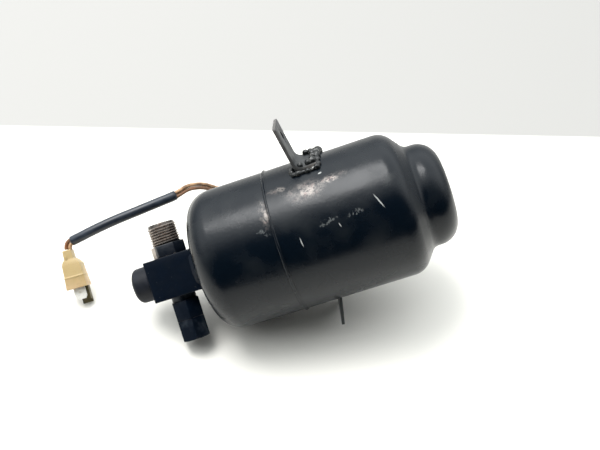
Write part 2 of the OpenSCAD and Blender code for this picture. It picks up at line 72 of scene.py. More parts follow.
CAN_R = MOUNTS["band_seat"]["dims"]["r_mm"]
WALL = 1.6
FRONT_LEN = 48.8
REAR_LEN = 59.3
BASE_X = 88.3
NECK_R = 27.2
CROWN_R = 113
KNUCKLE_R = 13
SHOULDER_R = 10.6
ROOT_R = 4.8
RIM_R = 11.2
CONE_ANGLE = math.radians(52)
BLOCK_X = 76.2
BLOCK_H = 22.4
BLOCK_W = 19.5
PORT_X = 63
SWITCH_X = -22
SWITCH_ANGLE = 66
BRACKET_X = 18.2
BRACKET_W = 28
UPPER_ANGLE = 18
UPPER_H = 23.5
UPPER_LEAN = 9
UPPER_FOOT = 10.5
LOWER_ANGLE = 201
LOWER_H = 14.4
LOWER_LEAN = 12
LOWER_FOOT = 12
FLANGE_CORNER = 1.2
BOLT_R = 3.25
BOLT_DOWN = 8  # from the flange's top edge to the middle of its hole
INLET_FLATS = 16
INLET_TURN = 6  # turn of the inlet's hexagon about the port
OUTLET_FLATS = 14.3
OUTLET_TURN = 13  # turn of the outlet's hexagons about the port


def canister_frame():
    """Matrix from the canister's frame, in millimetres, to the row frame, in metres."""
    along = Vector(MOUNTS["base_face"]["axis"]).normalized()
    inlet = Vector(MOUNTS["inlet_thread"]["axis"]).normalized()
    seam = Vector(MOUNTS["base_face"]["pos_m"]) - along * BASE_X * MM
    turned = Matrix((along, inlet.cross(along), inlet)).transposed().to_4x4()
    return Matrix.Translation(seam) @ turned @ Matrix.Scale(MM, 4)


LAY = canister_frame()


def turn(degrees, axis):
    return Matrix.Rotation(math.radians(degrees), 4, axis)


def along_x(x):
    return LAY @ Matrix.Translation((x, 0, 0)) @ turn(90, "Y")


def towards_header(x):
    return LAY @ Matrix.Translation((x, 0, 0)) @ turn(-90, "Y")


def at_inlet(z):
    return LAY @ Matrix.Translation((-PORT_X, 0, z))


def at_outlet(z):
    return LAY @ Matrix.Translation((-PORT_X, 0, -z)) @ turn(180, "X")


def at_switch(z):
    outwards = turn(-SWITCH_ANGLE, "X") @ Matrix.Translation((0, 0, z))
    return LAY @ Matrix.Translation((SWITCH_X, 0, 0)) @ outwards


def at_bracket(angle):
    """Frame of a bracket: +Z stands out of the shell at the bend, +X along the canister."""
    return LAY @ turn(angle, "X") @ Matrix.Translation((BRACKET_X, 0, CAN_R))


# ---- Sizes and colours that a user would change ----


def size(name, description, default):
    return FloatProperty(name=name, description=description, default=default * MM, min=0, unit="LENGTH")


def colour(name, description, default):
    return FloatVectorProperty(name=name, description=description, default=linear(default), subtype="COLOR",
                               size=3, min=0, max=1)


def linear(code):
    """Linear values of an sRGB hex colour."""
    parts = [int(code[i:i + 2], 16) / 255 for i in (1, 3, 5)]
    return tuple(c / 12.92 if c <= 0.04045 else ((c + 0.055) / 1.055) ** 2.4 for c in parts)


class DrierSizes(bpy.types.PropertyGroup):
    """Sizes of the visible details."""
    seam_height: size("Seam height", "Height of the girth seam above the shell", 0.75)
    edge_round: size("Edge round", "Rounding of the header's edges", 0.5)
    thread_pitch: size("Thread pitch", "Pitch of the inlet's thread, 18 threads to the inch", 1.411)
    strip: size("Bracket thickness", "Thickness of the brackets' steel strip", 1.6)
    bend: size("Bracket bend", "Inner radius of the brackets' bends", 2.2)
    wire: size("Wire diameter", "Outside diameter of each wire", 2.2)
    sleeve: size("Sleeve diameter", "Outside diameter of the lead's sleeve", 5.6)
    peel: size("Orange peel", "Width of the ripples in the sprayed enamel", 1.6)


class DrierColours(bpy.types.PropertyGroup):
    """Colours of the visible finishes."""
    enamel: colour("Enamel", "Black enamel of the canister", "#030B14")
    block: colour("Header", "Matt black of the header and hexes", "#000A18")
    steel: colour("Bare steel", "Steel where the enamel has worn off", "#ADA49D")
    rust: colour("Rust", "Rust in the thread", "#6E5648")
    rubber: colour("Cap", "Rubber of the sight glass cap", "#0F131B")
    nylon: colour("Plug", "Natural nylon of the plug, yellowed", "#D2B48A")
    tan_wire: colour("Upper wire", "PVC of the upper wire", "#C49C76")
    brown_wire: colour("Lower wire", "PVC of the lower wire", "#8C5F40")
    sleeve: colour("Sleeve", "Vinyl sleeve over the wires", "#171E29")
    floor: colour("Floor", "Pale floor", "#F6F3EC")


# ---- Mesh helpers ----


def arc(centre, radius, start, end, steps):
    """Points of an arc in a plane, with its ends; angles in radians."""
    spread = [start + (end - start) * i / steps for i in range(steps + 1)]
    return [(centre[0] + radius * math.cos(a), centre[1] + radius * math.sin(a)) for a in spread]


def rounded(corners, steps=6):
    """An outline with each corner (across, up, radius) rounded; the two end points stay sharp."""
    points = [Vector(c[:2]) for c in corners]
    made = [points[0]]
    for i in range(1, len(points) - 1):
        back, ahead = (points[i - 1] - points[i]).normalized(), (points[i + 1] - points[i]).normalized()
        half = back.angle(ahead) / 2
        radius = corners[i][2]
        if radius == 0 or half > math.radians(89):
            made.append(points[i])
            continue
        centre = points[i] + (back + ahead).normalized() * radius / math.sin(half)
        first, last = points[i] + back * radius / math.tan(half), points[i] + ahead * radius / math.tan(half)
        swing = (first - centre).angle_signed(last - centre)
        made += [centre + Matrix.Rotation(-swing * k / steps, 2) @ (first - centre) for k in range(steps + 1)]
    return [tuple(p) for p in made + [points[-1]]]


def piece(bm, name, place, nodes=(), body=BODY, sharp=35):
    """Make a bmesh in millimetres an object in its place, riding on its body."""
    bm.transform(place)
    mesh = bpy.data.meshes.new(name)
    bm.to_mesh(mesh)
    bm.free()
    made = bpy.data.objects.new(name, mesh)
    bpy.context.scene.collection.objects.link(made)
    mesh.shade_smooth()
    mesh.set_sharp_from_angle(angle=math.radians(sharp))
    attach(made, body)
    if nodes:
        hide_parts(*nodes)
    return made


def lathe(bm, outline, steps=96, closed=False):
    """Spin an outline of (radius, height) points round +Z, and close it at the axis."""
    verts = [bm.verts.new((r, 0, z)) for r, z in outline]
    pairs = list(zip(verts, verts[1:])) + ([(verts[-1], verts[0])] if closed else [])
    edges = [bm.edges.new(pair) for pair in pairs]
    bmesh.ops.spin(bm, geom=verts + edges, cent=(0, 0, 0), axis=(0, 0, 1), angle=2 * math.pi, steps=steps,
                   use_merge=True)
    bmesh.ops.remove_doubles(bm, verts=bm.verts[:], dist=0.002)
    bmesh.ops.recalc_face_normals(bm, faces=bm.faces[:])
    return bm


def bevel(bm, edges, offset, segments=3):
    bmesh.ops.bevel(bm, geom=edges, offset=offset, segments=segments, profile=0.5, affect="EDGES",
                    material=-1, clamp_overlap=True)


def crisp(bm, angle=30):
    """Edges whose two faces meet at more than the angle."""
    return [e for e in bm.edges if e.is_manifold and e.calc_face_angle() > math.radians(angle)]


def box(bm, low, high):
    """Add a block between two corners."""
    low, high = Vector(low), Vector(high)
    placed = Matrix.Translation((low + high) / 2) @ Matrix.Diagonal((*(high - low), 1))
    return bmesh.ops.create_cube(bm, size=1, matrix=placed)["verts"]


def verts_of(made):
    """The vertices among what an operator made."""
    return [g for g in made["geom"] if isinstance(g, bmesh.types.BMVert)]


def drilled(bm, points, centre, facing, radius, segments):
    """Fill a closed outline, leaving a round hole at the centre, turned to lie in the sheet."""
    verts = [bm.verts.new(point) for point in points]
    for i in range(len(verts)):
        bm.edges.new((verts[i - 1], verts[i]))
    bmesh.ops.create_circle(bm, segments=segments, radius=radius, matrix=Matrix.Translation(centre) @ facing)
    bmesh.ops.triangle_fill(bm, use_beauty=True, use_dissolve=False, edges=bm.edges[:])


def merge(bm, other):
    """Move another bmesh's faces into this one."""
    carried = bpy.data.meshes.new("carried")
    other.to_mesh(carried)
    other.free()
    bm.from_mesh(carried)
    bpy.data.meshes.remove(carried)


def hexagon(bm, flats, low, high, round_by, corner=0):
    """Add a hexagonal bar along +Z with rounded edges; corner is the angle from +X to one of its corners."""
    corner_r = flats / 2 / math.cos(math.pi / 6)
    placed = Matrix.Translation((0, 0, (low + high) / 2)) @ turn(corner - 30, "Z")
    made = bmesh.ops.create_cone(bm, cap_ends=True, segments=6, radius1=corner_r, radius2=corner_r,
                                 depth=high - low, matrix=placed)
    edges = {e for v in made["verts"] for e in v.link_edges}
    bevel(bm, list(edges), round_by)


def settle(made):
    """Put what a piece's modifiers make into its own mesh."""
    graph = bpy.context.evaluated_depsgraph_get()
    graph.update()
    made.data = bpy.data.meshes.new_from_object(made.evaluated_get(graph))
    made.modifiers.clear()
    made.data.shade_smooth()


def modifier(made, kind, **settings):
    added = made.modifiers.new(kind.title(), kind)
    for name, value in settings.items():
        setattr(added, name, value)
    return added


def ripple(bm, height, spacing):
    """Push every point along its normal by a fixed noise, as in a frozen weld or a drawn shell."""
    for v in bm.verts:
        v.co += v.normal * height * noise.noise(v.co / spacing)


# ---- Material helpers ----


def add(tree, kind, sockets=(), output=0, **settings):
    """Add one node with its settings and return an output. A socket takes a value or an output."""
    made = tree.nodes.new("ShaderNode" + kind)
    for name, value in settings.items():
        setattr(made, name, value)
    for name, value in dict(sockets).items():
        if isinstance(value, bpy.types.NodeSocket):
            tree.links.new(value, made.inputs[name])
        elif made.inputs[name].type == "RGBA":
            made.inputs[name].default_value = (*value[:3], 1)
        else:
            made.inputs[name].default_value = value
    return made.outputs[output] if made.outputs else None


def material(name):
    """An empty material and its tree."""
    made = bpy.data.materials.new(name)
    made.use_nodes = True
    made.node_tree.nodes.clear()
    return made, made.node_tree


def millimetres(tree):
    """Point in the canister's frame, in millimetres."""
    point = add(tree, "TexCoord", output="Object")
    return add(tree, "Mapping",
               {"Vector": point, "Location": LAY.translation, "Rotation": LAY.to_euler("XYZ"),
                "Scale": (MM, MM, MM)}, vector_type="TEXTURE")


# ---- Finishes ----

SOFT = "SMOOTHSTEP"

# Marks on the canister: distance from the seam, angle round the axis from the inlet, half length along
# the axis, half width round it, and turn in the surface. The angle is negative on the worn side.
RUBBED = [(20, -58, 13, 7.5, 6), (-2.5, -66, 3, 10, 0), (34, -54, 10, 3, 8), (6, -50, 6, 2.6, 0)]
SCRAPED = [(26, -86, 10, 2.6, 5), (40, -86, 9, 2.2, 12), (-5, -80, 6, 3.4, -30)]
SCRATCHES = [(52.2, -83, 4.9, 0.42, -67), (11.1, -94.5, 2.9, 0.34, -84), (31.2, -91, 1.5, 0.3, -75),
             (29, -46, 1.2, 0.6, 20)]
SMUDGED = [(-15, -141, 3.4, 4.5, 20), (-32, -149, 4.5, 6, 0), (60, -70, 6, 3, 30), (-8, -146, 5, 3, 0)]


def marks(tree, flat, places, raggedness, soft):
    """Share of cover by the marks, ragged by the given length and soft at the edge."""
    rough = add(tree, "TexNoise", {"Vector": flat, "Scale": 0.45, "Detail": 5.0, "Roughness": 0.7}, "Color")
    shift = add(tree, "VectorMath", {0: rough, 1: (0.5, 0.5, 0.5)}, operation="SUBTRACT")
    moved = add(tree, "VectorMath", {0: shift, 1: (raggedness,) * 3, 2: flat}, operation="MULTIPLY_ADD")
    cover = None
    for x, angle, half_x, half_round, turned in places:
        spot = add(tree, "Mapping", {"Vector": moved, "Location": (x, math.radians(angle) * CAN_R, 0),
                                     "Rotation": (0, 0, math.radians(turned)),
                                     "Scale": (half_x, half_round, 1)}, vector_type="TEXTURE")
        reach = add(tree, "VectorMath", {0: spot}, "Value", operation="LENGTH")
        share = add(tree, "MapRange", {"Value": reach, "From Min": 1.0, "From Max": 1 - soft},
                    interpolation_type=SOFT)
        cover = share if cover is None else add(tree, "Math", {0: cover, 1: share}, operation="MAXIMUM")
    return cover


def enamel(colours, sizes):
    """Black enamel: sprayed air-drying alkyd on drawn steel, old and rubbed.

    The eye sees a soft gloss with fine orange peel, a dusty film, and worn places that show grey steel
    with a pink bloom of rust.
    """
    made, tree = material("black_enamel")
    point = millimetres(tree)
    parts = add(tree, "SeparateXYZ", {0: point}).node.outputs
    angle = add(tree, "Math", {0: parts["Y"], 1: parts["Z"]}, operation="ARCTAN2")
    around = add(tree, "Math", {0: angle, 1: CAN_R}, operation="MULTIPLY")
    flat = add(tree, "CombineXYZ", {"X": parts["X"], "Y": around})
    rubbed = marks(tree, flat, RUBBED, 6, 0.9)
    scraped = marks(tree, flat, SCRAPED, 7, 0.6)
    scratch = marks(tree, flat, SCRATCHES, 0.5, 0.5)
    smudge = marks(tree, flat, SMUDGED, 4, 0.9)

    # Chips where the paint was scraped, and steel where it was rubbed off.
    fleck = add(tree, "TexNoise", {"Vector": flat, "Scale": 1 / 1.6, "Detail": 5.0})
    flecked = add(tree, "Math", {0: scraped, 1: fleck}, operation="MULTIPLY")
    chips = add(tree, "MapRange", {"Value": flecked, "From Min": 0.42, "From Max": 0.56},
                interpolation_type=SOFT)
    patch = add(tree, "TexNoise", {"Vector": point, "Scale": 1 / 4.5, "Detail": 6.0})
    patchy = add(tree, "MapRange", {"Value": patch, "From Min": 0.3, "From Max": 0.62},
                 interpolation_type=SOFT)
    share = add(tree, "Math", {0: rubbed, 1: patchy}, operation="MULTIPLY")
    bare = add(tree, "Math", {0: share, 1: 0.62}, operation="MULTIPLY")

    # Dust in clouds, with a few pale smudges.
    cloud = add(tree, "TexNoise", {"Vector": point, "Scale": 1 / 14, "Detail": 4.0})
    dust = add(tree, "MapRange", {"Value": cloud, "From Min": 0.45, "From Max": 0.75, "To Max": 0.07},
               interpolation_type=SOFT)
    smear = add(tree, "Math", {0: smudge, 1: 0.22}, operation="MULTIPLY")
    film = add(tree, "Math", {0: dust, 1: smear}, operation="MAXIMUM")

    pinks = add(tree, "TexNoise", {"Vector": point, "Scale": 1 / 2.6, "Detail": 5.0})
    pink = add(tree, "MapRange", {"Value": pinks, "From Min": 0.5, "From Max": 0.68}, interpolation_type=SOFT)
    paint = add(tree, "Mix", {0: film, 6: colours.enamel, 7: linear("#4A4D4C")}, 2, data_type="RGBA")
    steel = add(tree, "Mix", {0: pink, 6: colours.steel, 7: linear("#AB9891")}, 2, data_type="RGBA")
    worn = add(tree, "Mix", {0: bare, 6: paint, 7: steel}, 2, data_type="RGBA")
    thin = add(tree, "Math", {0: chips, 1: 0.55}, operation="MULTIPLY")
    chipped = add(tree, "Mix", {0: thin, 6: worn, 7: linear("#6C7070")}, 2, data_type="RGBA")
    base = add(tree, "Mix", {0: scratch, 6: chipped, 7: linear("#A4A6A4")}, 2, data_type="RGBA")
    gloss = add(tree, "MapRange", {"Value": cloud, "From Min": 0.3, "From Max": 0.75, "To Min": 0.2,
                                   "To Max": 0.32}, interpolation_type=SOFT)
    dulled = add(tree, "Math", {0: film, 1: 0.5, 2: gloss}, operation="MULTIPLY_ADD")
    rough = add(tree, "Math", {0: bare, 1: 0.15, 2: dulled}, operation="MULTIPLY_ADD")
    metal = add(tree, "Math", {0: bare, 1: 0.4}, operation="MULTIPLY")

    # Orange peel, grains of dust, and marks that cut into the paint.
    peel = add(tree, "TexNoise", {"Vector": point, "Scale": MM / sizes.peel, "Detail": 2.0})
    speck = add(tree, "TexNoise", {"Vector": point, "Scale": 1 / 0.7, "Detail": 2.0})
    relief = add(tree, "Math", {0: speck, 1: 0.25, 2: peel}, operation="MULTIPLY_ADD")
    cut = add(tree, "Math", {0: scratch, 1: chips}, operation="ADD")
    height = add(tree, "Math", {0: cut, 1: -1.6, 2: relief}, operation="MULTIPLY_ADD")
    bump = add(tree, "Bump", {"Height": height, "Distance": 0.035 * MM, "Strength": 1.0})
    shader = add(tree, "BsdfPrincipled", {"Base Color": base, "Roughness": rough, "Metallic": metal,
                                          "Normal": bump, "Specular IOR Level": 0.26})
    add(tree, "OutputMaterial", {"Surface": shader})
    return made


def bracket_enamel(colours):
    """Black enamel on rolled strip: thin and grey with dust, rubbed to steel along the edges."""
    made, tree = material("bracket_enamel")
    point = millimetres(tree)
    cloud = add(tree, "TexNoise", {"Vector": point, "Scale": 0.2, "Detail": 6.0})
    dusty = add(tree, "MapRange", {"Value": cloud, "From Min": 0.3, "From Max": 0.66, "To Min": 0.15,
                                   "To Max": 0.9}, interpolation_type=SOFT)
    base = add(tree, "Mix", {0: dusty, 6: colours.enamel, 7: linear("#3C3E3F")}, 2, data_type="RGBA")
    edge = add(tree, "NewGeometry", output="Pointiness")
    worn = add(tree, "MapRange", {"Value": edge, "From Min": 0.52, "From Max": 0.6, "To Max": 0.5},
               interpolation_type=SOFT)
    base = add(tree, "Mix", {0: worn, 6: base, 7: colours.steel}, 2, data_type="RGBA")
    rough = add(tree, "MapRange", {"Value": dusty, "To Min": 0.35, "To Max": 0.62})
    grit = add(tree, "TexNoise", {"Vector": point, "Scale": 1 / 0.9, "Detail": 4.0})
    bump = add(tree, "Bump", {"Height": grit, "Distance": 0.06 * MM, "Strength": 1.0})
    shader = add(tree, "BsdfPrincipled", {"Base Color": base, "Roughness": rough, "Normal": bump,
                                          "IOR": 1.5})
    add(tree, "OutputMaterial", {"Surface": shader})
    return made


def weld_metal():
    """Stick weld under enamel: glossy black lumps with burnt, pitted hollows and bright torn tips."""
    made, tree = material("painted_weld")
    point = millimetres(tree)
    tear = add(tree, "TexNoise", {"Vector": point, "Scale": 1 / 2.2, "Detail": 5.0})
    torn = add(tree, "MapRange", {"Value": tear, "From Min": 0.6, "From Max": 0.68}, interpolation_type=SOFT)
    base = add(tree, "Mix", {0: torn, 6: linear("#0C0F10"), 7: linear("#9A9995")}, 2, data_type="RGBA")
    metal = add(tree, "Math", {0: torn, 1: 0.5}, operation="MULTIPLY")
    cloud = add(tree, "TexNoise", {"Vector": point, "Scale": 1 / 3, "Detail": 3.0})
    rough = add(tree, "MapRange", {"Value": cloud, "From Min": 0.3, "From Max": 0.7, "To Min": 0.22,
                                   "To Max": 0.55}, interpolation_type=SOFT)
    pits = add(tree, "TexNoise", {"Vector": point, "Scale": 1 / 0.6, "Detail": 5.0})
    bump = add(tree, "Bump", {"Height": pits, "Distance": 0.14 * MM, "Strength": 1.0})
    shader = add(tree, "BsdfPrincipled", {"Base Color": base, "Roughness": rough, "Metallic": metal,
                                          "Normal": bump, "IOR": 1.5})
    add(tree, "OutputMaterial", {"Surface": shader})
    return made


def block_paint(colours):
    """Matt black paint on machined steel: blue-black, with handling marks and pale chips."""
    made, tree = material("matt_black_paint")
    point = millimetres(tree)
    cloud = add(tree, "TexNoise", {"Vector": point, "Scale": 0.2, "Detail": 5.0})
    handled = add(tree, "MapRange", {"Value": cloud, "From Min": 0.45, "From Max": 0.75},
                  interpolation_type=SOFT)
    base = add(tree, "Mix", {0: handled, 6: colours.block, 7: linear("#07111E")}, 2, data_type="RGBA")
    fleck = add(tree, "TexNoise", {"Vector": point, "Scale": 1 / 1.3, "Detail": 6.0})
    chips = add(tree, "MapRange", {"Value": fleck, "From Min": 0.7, "From Max": 0.76, "To Max": 0.25},
                interpolation_type=SOFT)
    base = add(tree, "Mix", {0: chips, 6: base, 7: linear("#7D7B76")}, 2, data_type="RGBA")
    edge = add(tree, "NewGeometry", output="Pointiness")
    worn = add(tree, "MapRange", {"Value": edge, "From Min": 0.53, "From Max": 0.62}, interpolation_type=SOFT)
    part = add(tree, "Math", {0: worn, 1: handled}, operation="MULTIPLY")
    base = add(tree, "Mix", {0: part, 6: base, 7: linear("#4E545A")}, 2, data_type="RGBA")
    rough = add(tree, "MapRange", {"Value": cloud, "From Min": 0.3, "From Max": 0.7, "To Min": 0.5,
                                   "To Max": 0.36}, interpolation_type=SOFT)
    grit = add(tree, "TexNoise", {"Vector": point, "Scale": 1 / 0.8, "Detail": 4.0})
    bump = add(tree, "Bump", {"Height": grit, "Distance": 0.05 * MM, "Strength": 1.0})
    shader = add(tree, "BsdfPrincipled", {"Base Color": base, "Roughness": rough, "Normal": bump,
                                          "Specular IOR Level": 0.15})
    add(tree, "OutputMaterial", {"Surface": shader})
    return made


def thread_steel(colours):
    """Cut steel thread: dull grey-brown crests, a little rust, and near-black roots."""
    made, tree = material("cut_steel_thread")
    point = millimetres(tree)
    cloud = add(tree, "TexNoise", {"Vector": point, "Scale": 1 / 2.4, "Detail": 6.0})
    rusty = add(tree, "MapRange", {"Value": cloud, "From Min": 0.45, "From Max": 0.75},
                interpolation_type=SOFT)
    base = add(tree, "Mix", {0: rusty, 6: colours.steel, 7: colours.rust}, 2, data_type="RGBA")
    parts = add(tree, "SeparateXYZ", {0: point}).node.outputs
    offset = add(tree, "Math", {0: parts["X"], 1: float(PORT_X)}, operation="ADD")
    off_axis = add(tree, "CombineXYZ", {"X": offset, "Y": parts["Y"]})
    reach = add(tree, "VectorMath", {0: off_axis}, "Value", operation="LENGTH")
    # Near black in the thread's roots, within 7.7 mm of the port's axis.
    root = add(tree, "MapRange", {"Value": reach, "From Min": 7.7, "From Max": 7.15, "To Max": 0.85},
               interpolation_type=SOFT)
    base = add(tree, "Mix", {0: root, 6: base, 7: linear("#17130F")}, 2, data_type="RGBA")
    rough = add(tree, "MapRange", {"Value": rusty, "To Min": 0.24, "To Max": 0.5})
    grit = add(tree, "TexNoise", {"Vector": point, "Scale": 2.0, "Detail": 4.0})
    bump = add(tree, "Bump", {"Height": grit, "Distance": 0.04 * MM, "Strength": 1.0})
    shader = add(tree, "BsdfPrincipled", {"Base Color": base, "Roughness": rough, "Metallic": 0.8,
                                          "Normal": bump})
    add(tree, "OutputMaterial", {"Surface": shader})
    return made


def collar_paint(colours):
    """Black paint on the inlet's hexagon, gone from its outer facet and its foot, where bare steel shines."""
    made, tree = material("collar_paint")
    point = millimetres(tree)
    parts = add(tree, "SeparateXYZ", {0: point}).node.outputs
    ragged = add(tree, "TexNoise", {"Vector": point, "Scale": 1 / 1.5, "Detail": 5.0})
    torn = add(tree, "Math", {0: ragged, 1: 1.6, 2: parts["X"]}, operation="MULTIPLY_ADD")
    facet = add(tree, "MapRange", {"Value": torn, "From Min": -67.5, "From Max": -68.1},
                interpolation_type=SOFT)
    rim = add(tree, "Math", {0: ragged, 1: 1.4, 2: parts["Z"]}, operation="MULTIPLY_ADD")
    low = add(tree, "MapRange", {"Value": rim, "From Min": BLOCK_H / 2 + 1.0, "From Max": BLOCK_H / 2 + 0.8,
                                 "To Max": 0.7}, interpolation_type=SOFT)
    bare = add(tree, "Math", {0: facet, 1: low}, operation="MAXIMUM")
    base = add(tree, "Mix", {0: bare, 6: colours.block, 7: colours.steel}, 2, data_type="RGBA")
    metal = add(tree, "Math", {0: bare, 1: 0.7}, operation="MULTIPLY")
    cloud = add(tree, "TexNoise", {"Vector": point, "Scale": 0.5, "Detail": 4.0})
    rough = add(tree, "MapRange", {"Value": cloud, "From Min": 0.3, "From Max": 0.7, "To Min": 0.35,
                                   "To Max": 0.55}, interpolation_type=SOFT)
    bump = add(tree, "Bump", {"Height": ragged, "Distance": 0.06 * MM, "Strength": 1.0})
    shader = add(tree, "BsdfPrincipled", {"Base Color": base, "Roughness": rough, "Metallic": metal,
                                          "Normal": bump, "IOR": 1.5})
    add(tree, "OutputMaterial", {"Surface": shader})
    return made


def moulded(name, base_colour, shade, rough, width, depth, ior=1.5):
    """Moulded rubber or plastic: one colour with a faint cloud of the shade and a fine skin."""
    made, tree = material(name)
    point = millimetres(tree)
    wide = add(tree, "TexNoise", {"Vector": point, "Scale": 1 / (width * 6), "Detail": 4.0})
    cloud = add(tree, "MapRange", {"Value": wide, "From Min": 0.35, "From Max": 0.7}, interpolation_type=SOFT)
    base = add(tree, "Mix", {0: cloud, 6: base_colour, 7: shade}, 2, data_type="RGBA")
    dull = add(tree, "MapRange", {"Value": cloud, "To Min": rough, "To Max": rough + 0.12})
    skin = add(tree, "TexNoise", {"Vector": point, "Scale": 1 / width, "Detail": 3.0})
    bump = add(tree, "Bump", {"Height": skin, "Distance": depth * MM, "Strength": 1.0})
    shader = add(tree, "BsdfPrincipled", {"Base Color": base, "Roughness": dull, "Normal": bump,
                                          "IOR": ior})
    add(tree, "OutputMaterial", {"Surface": shader})
    return made


def plain_metal(name, base_colour, rough, metallic=1.0):
    """Turned, pressed or plated metal: brushed lines too small to count."""
    made, tree = material(name)
    point = millimetres(tree)
    lines = add(tree, "TexNoise", {"Vector": point, "Scale": 1.25, "Detail": 5.0})
    share = add(tree, "MapRange", {"Value": lines, "From Min": 0.3, "From Max": 0.8}, interpolation_type=SOFT)
    shade = [c * 0.85 for c in base_colour[:3]]
    base = add(tree, "Mix", {0: share, 6: base_colour, 7: shade}, 2, data_type="RGBA")
    dull = add(tree, "MapRange", {"Value": lines, "From Min": 0.3, "From Max": 0.7, "To Min": rough,
                                  "To Max": rough + 0.12}, interpolation_type=SOFT)
    bump = add(tree, "Bump", {"Height": lines, "Distance": 0.015 * MM, "Strength": 1.0})
    shader = add(tree, "BsdfPrincipled", {"Base Color": base, "Roughness": dull, "Metallic": metallic,
                                          "Normal": bump})
    add(tree, "OutputMaterial", {"Surface": shader})
    return made


def plug_nylon(colours):
    """Natural nylon 66: cream, yellowed by heat, a little see-through, darker in clouds and towards its
    raised neck, with specks of grime.
    """
    made, tree = material("yellowed_nylon")
    point = millimetres(tree)
    parts = add(tree, "SeparateXYZ", {0: add(tree, "TexCoord", output="Object")}).node.outputs
    cloud = add(tree, "TexNoise", {"Vector": point, "Scale": 0.25, "Detail": 4.0})
    neck = add(tree, "MapRange", {"Value": parts["Z"], "From Min": 0.011, "From Max": 0.02})
    # Darker in clouds and towards the raised neck end, from 11 mm to 20 mm up.
    darkened = add(tree, "Math", {0: cloud, 1: 0.5, 2: neck}, operation="MULTIPLY_ADD")
    share = add(tree, "MapRange", {"Value": darkened, "From Min": 0.3, "From Max": 1.2}, interpolation_type=SOFT)
    base = add(tree, "Mix", {0: share, 6: colours.nylon, 7: linear("#B79F6E")}, 2, data_type="RGBA")
    fine = add(tree, "TexNoise", {"Vector": point, "Scale": 1 / 1.2, "Detail": 6.0})
    grime = add(tree, "MapRange", {"Value": fine, "From Min": 0.6, "From Max": 0.75, "To Max": 0.35},
                interpolation_type=SOFT)
    base = add(tree, "Mix", {0: grime, 6: base, 7: linear("#8A6E48")}, 2, data_type="RGBA")
    rough = add(tree, "MapRange",
                {"Value": cloud, "From Min": 0.3, "From Max": 0.7, "To Min": 0.4, "To Max": 0.55})
    bump = add(tree, "Bump", {"Height": fine, "Distance": 0.04 * MM, "Strength": 1.0})
    shader = add(tree, "BsdfPrincipled", {"Base Color": base, "Roughness": rough, "Normal": bump,
                                          "IOR": 1.53, "Subsurface Weight": 0.2,
                                          "Subsurface Radius": (1.2 * MM, 0.8 * MM, 0.4 * MM),
                                          "Subsurface Scale": 1.0})
    add(tree, "OutputMaterial", {"Surface": shader})
    return made


def put(made, *materials):
    """Set the material slots of a piece or a CAD node."""
    if made.data.materials:
        made.data.materials.clear()
    for one in materials:
        made.data.materials.append(one)


def shared(name, maker, *given):
    """A finish that several pieces share, made once."""
    return bpy.data.materials.get(name) or maker(*given)


# ---- Operators ----


class BuildOperator:
    """What every operator here shares."""
    bl_options = {"REGISTER", "UNDO"}

    def execute(self, context):
        self.build(context.scene.drier_sizes, context.scene.drier_colours)
        return {"FINISHED"}


class DRIER_OT_stage(BuildOperator, bpy.types.Operator):
    """Add the camera, the soft lights and the pale floor"""
    bl_idname = "drier.stage"
    bl_label = "Stage"

    def build(self, sizes, colours):
        scene = bpy.context.scene
        scene.view_settings.view_transform = "Standard"
        scene.view_settings.look = "None"
        eye = bpy.data.cameras.new("camera")
        eye.lens = 42
        eye.sensor_width = 36
        camera = bpy.data.objects.new("camera", eye)
        camera.location = (-0.0366, -0.2477, 0.337)
        camera.rotation_euler = (math.radians(40), 0, math.radians(-10.24))
        scene.collection.objects.link(camera)
        scene.camera = camera

        self.light("sky_panel", (-0.36, 0.42, 1.35), 0.7, 16)
        self.world(scene)
        self.floor(colours)

    def light(self, name, place, width, power):
        """A square soft light that faces the object."""
        lamp = bpy.data.lights.new(name, "AREA")
        lamp.size = width
        lamp.energy = power
        made = bpy.data.objects.new(name, lamp)
        made.location = place
        made.rotation_euler = (Vector((0, 0, 0.05)) - made.location).to_track_quat("-Z", "Y").to_euler()
        bpy.context.scene.collection.objects.link(made)

    def world(self, scene):
        """A room that is pale behind the object and dark on the near side."""
        world = bpy.data.worlds.new("room")
        world.use_nodes = True
        tree = world.node_tree
        tree.nodes.clear()
        facing = add(tree, "TexCoord", output="Generated")
        parts = add(tree, "SeparateXYZ", {0: facing}).node.outputs
        behind = add(tree, "MapRange",
                     {"Value": parts["Y"], "From Min": -0.5, "From Max": 0.1, "To Min": 0.06,
                      "To Max": 2.5}, interpolation_type=SOFT)
        overhead = add(tree, "MapRange", {"Value": parts["Z"], "From Min": 0.1, "From Max": 0.65,
                                          "To Min": 0.3}, interpolation_type=SOFT)
        pale = add(tree, "Math", {0: behind, 1: overhead}, operation="MULTIPLY")
        glow = add(tree, "Background", {"Color": (0.95, 0.99, 1.0), "Strength": pale})
        add(tree, "OutputWorld", {"Surface": glow})
        scene.world = world

    def floor(self, colours):
        """A white table top, and a greyer ground past its far edge."""
        bm = bmesh.new()
        bmesh.ops.create_grid(bm, x_segments=1, y_segments=1, size=6)
        mesh = bpy.data.meshes.new("floor")
        bm.to_mesh(mesh)
        bm.free()
        made = bpy.data.objects.new("floor", mesh)
        bpy.context.scene.collection.objects.link(made)
        paper, tree = material("pale_paper")
        parts = add(tree, "SeparateXYZ", {0: add(tree, "TexCoord", output="Object")}).node.outputs
        edge = add(tree, "Math", {0: parts["X"], 1: 0.21, 2: parts["Y"]}, operation="MULTIPLY_ADD")
        past = add(tree, "MapRange", {"Value": edge, "From Min": 0.1205, "From Max": 0.1225})
        tone = add(tree, "Mix", {0: past, 6: colours.floor, 7: linear("#ACAAA7")}, 2, data_type="RGBA")
        shader = add(tree, "BsdfPrincipled", {"Base Color": tone, "Roughness": 0.7,
                                              "Specular IOR Level": 0.2})
        add(tree, "OutputMaterial", {"Surface": shader})
        put(made, paper)


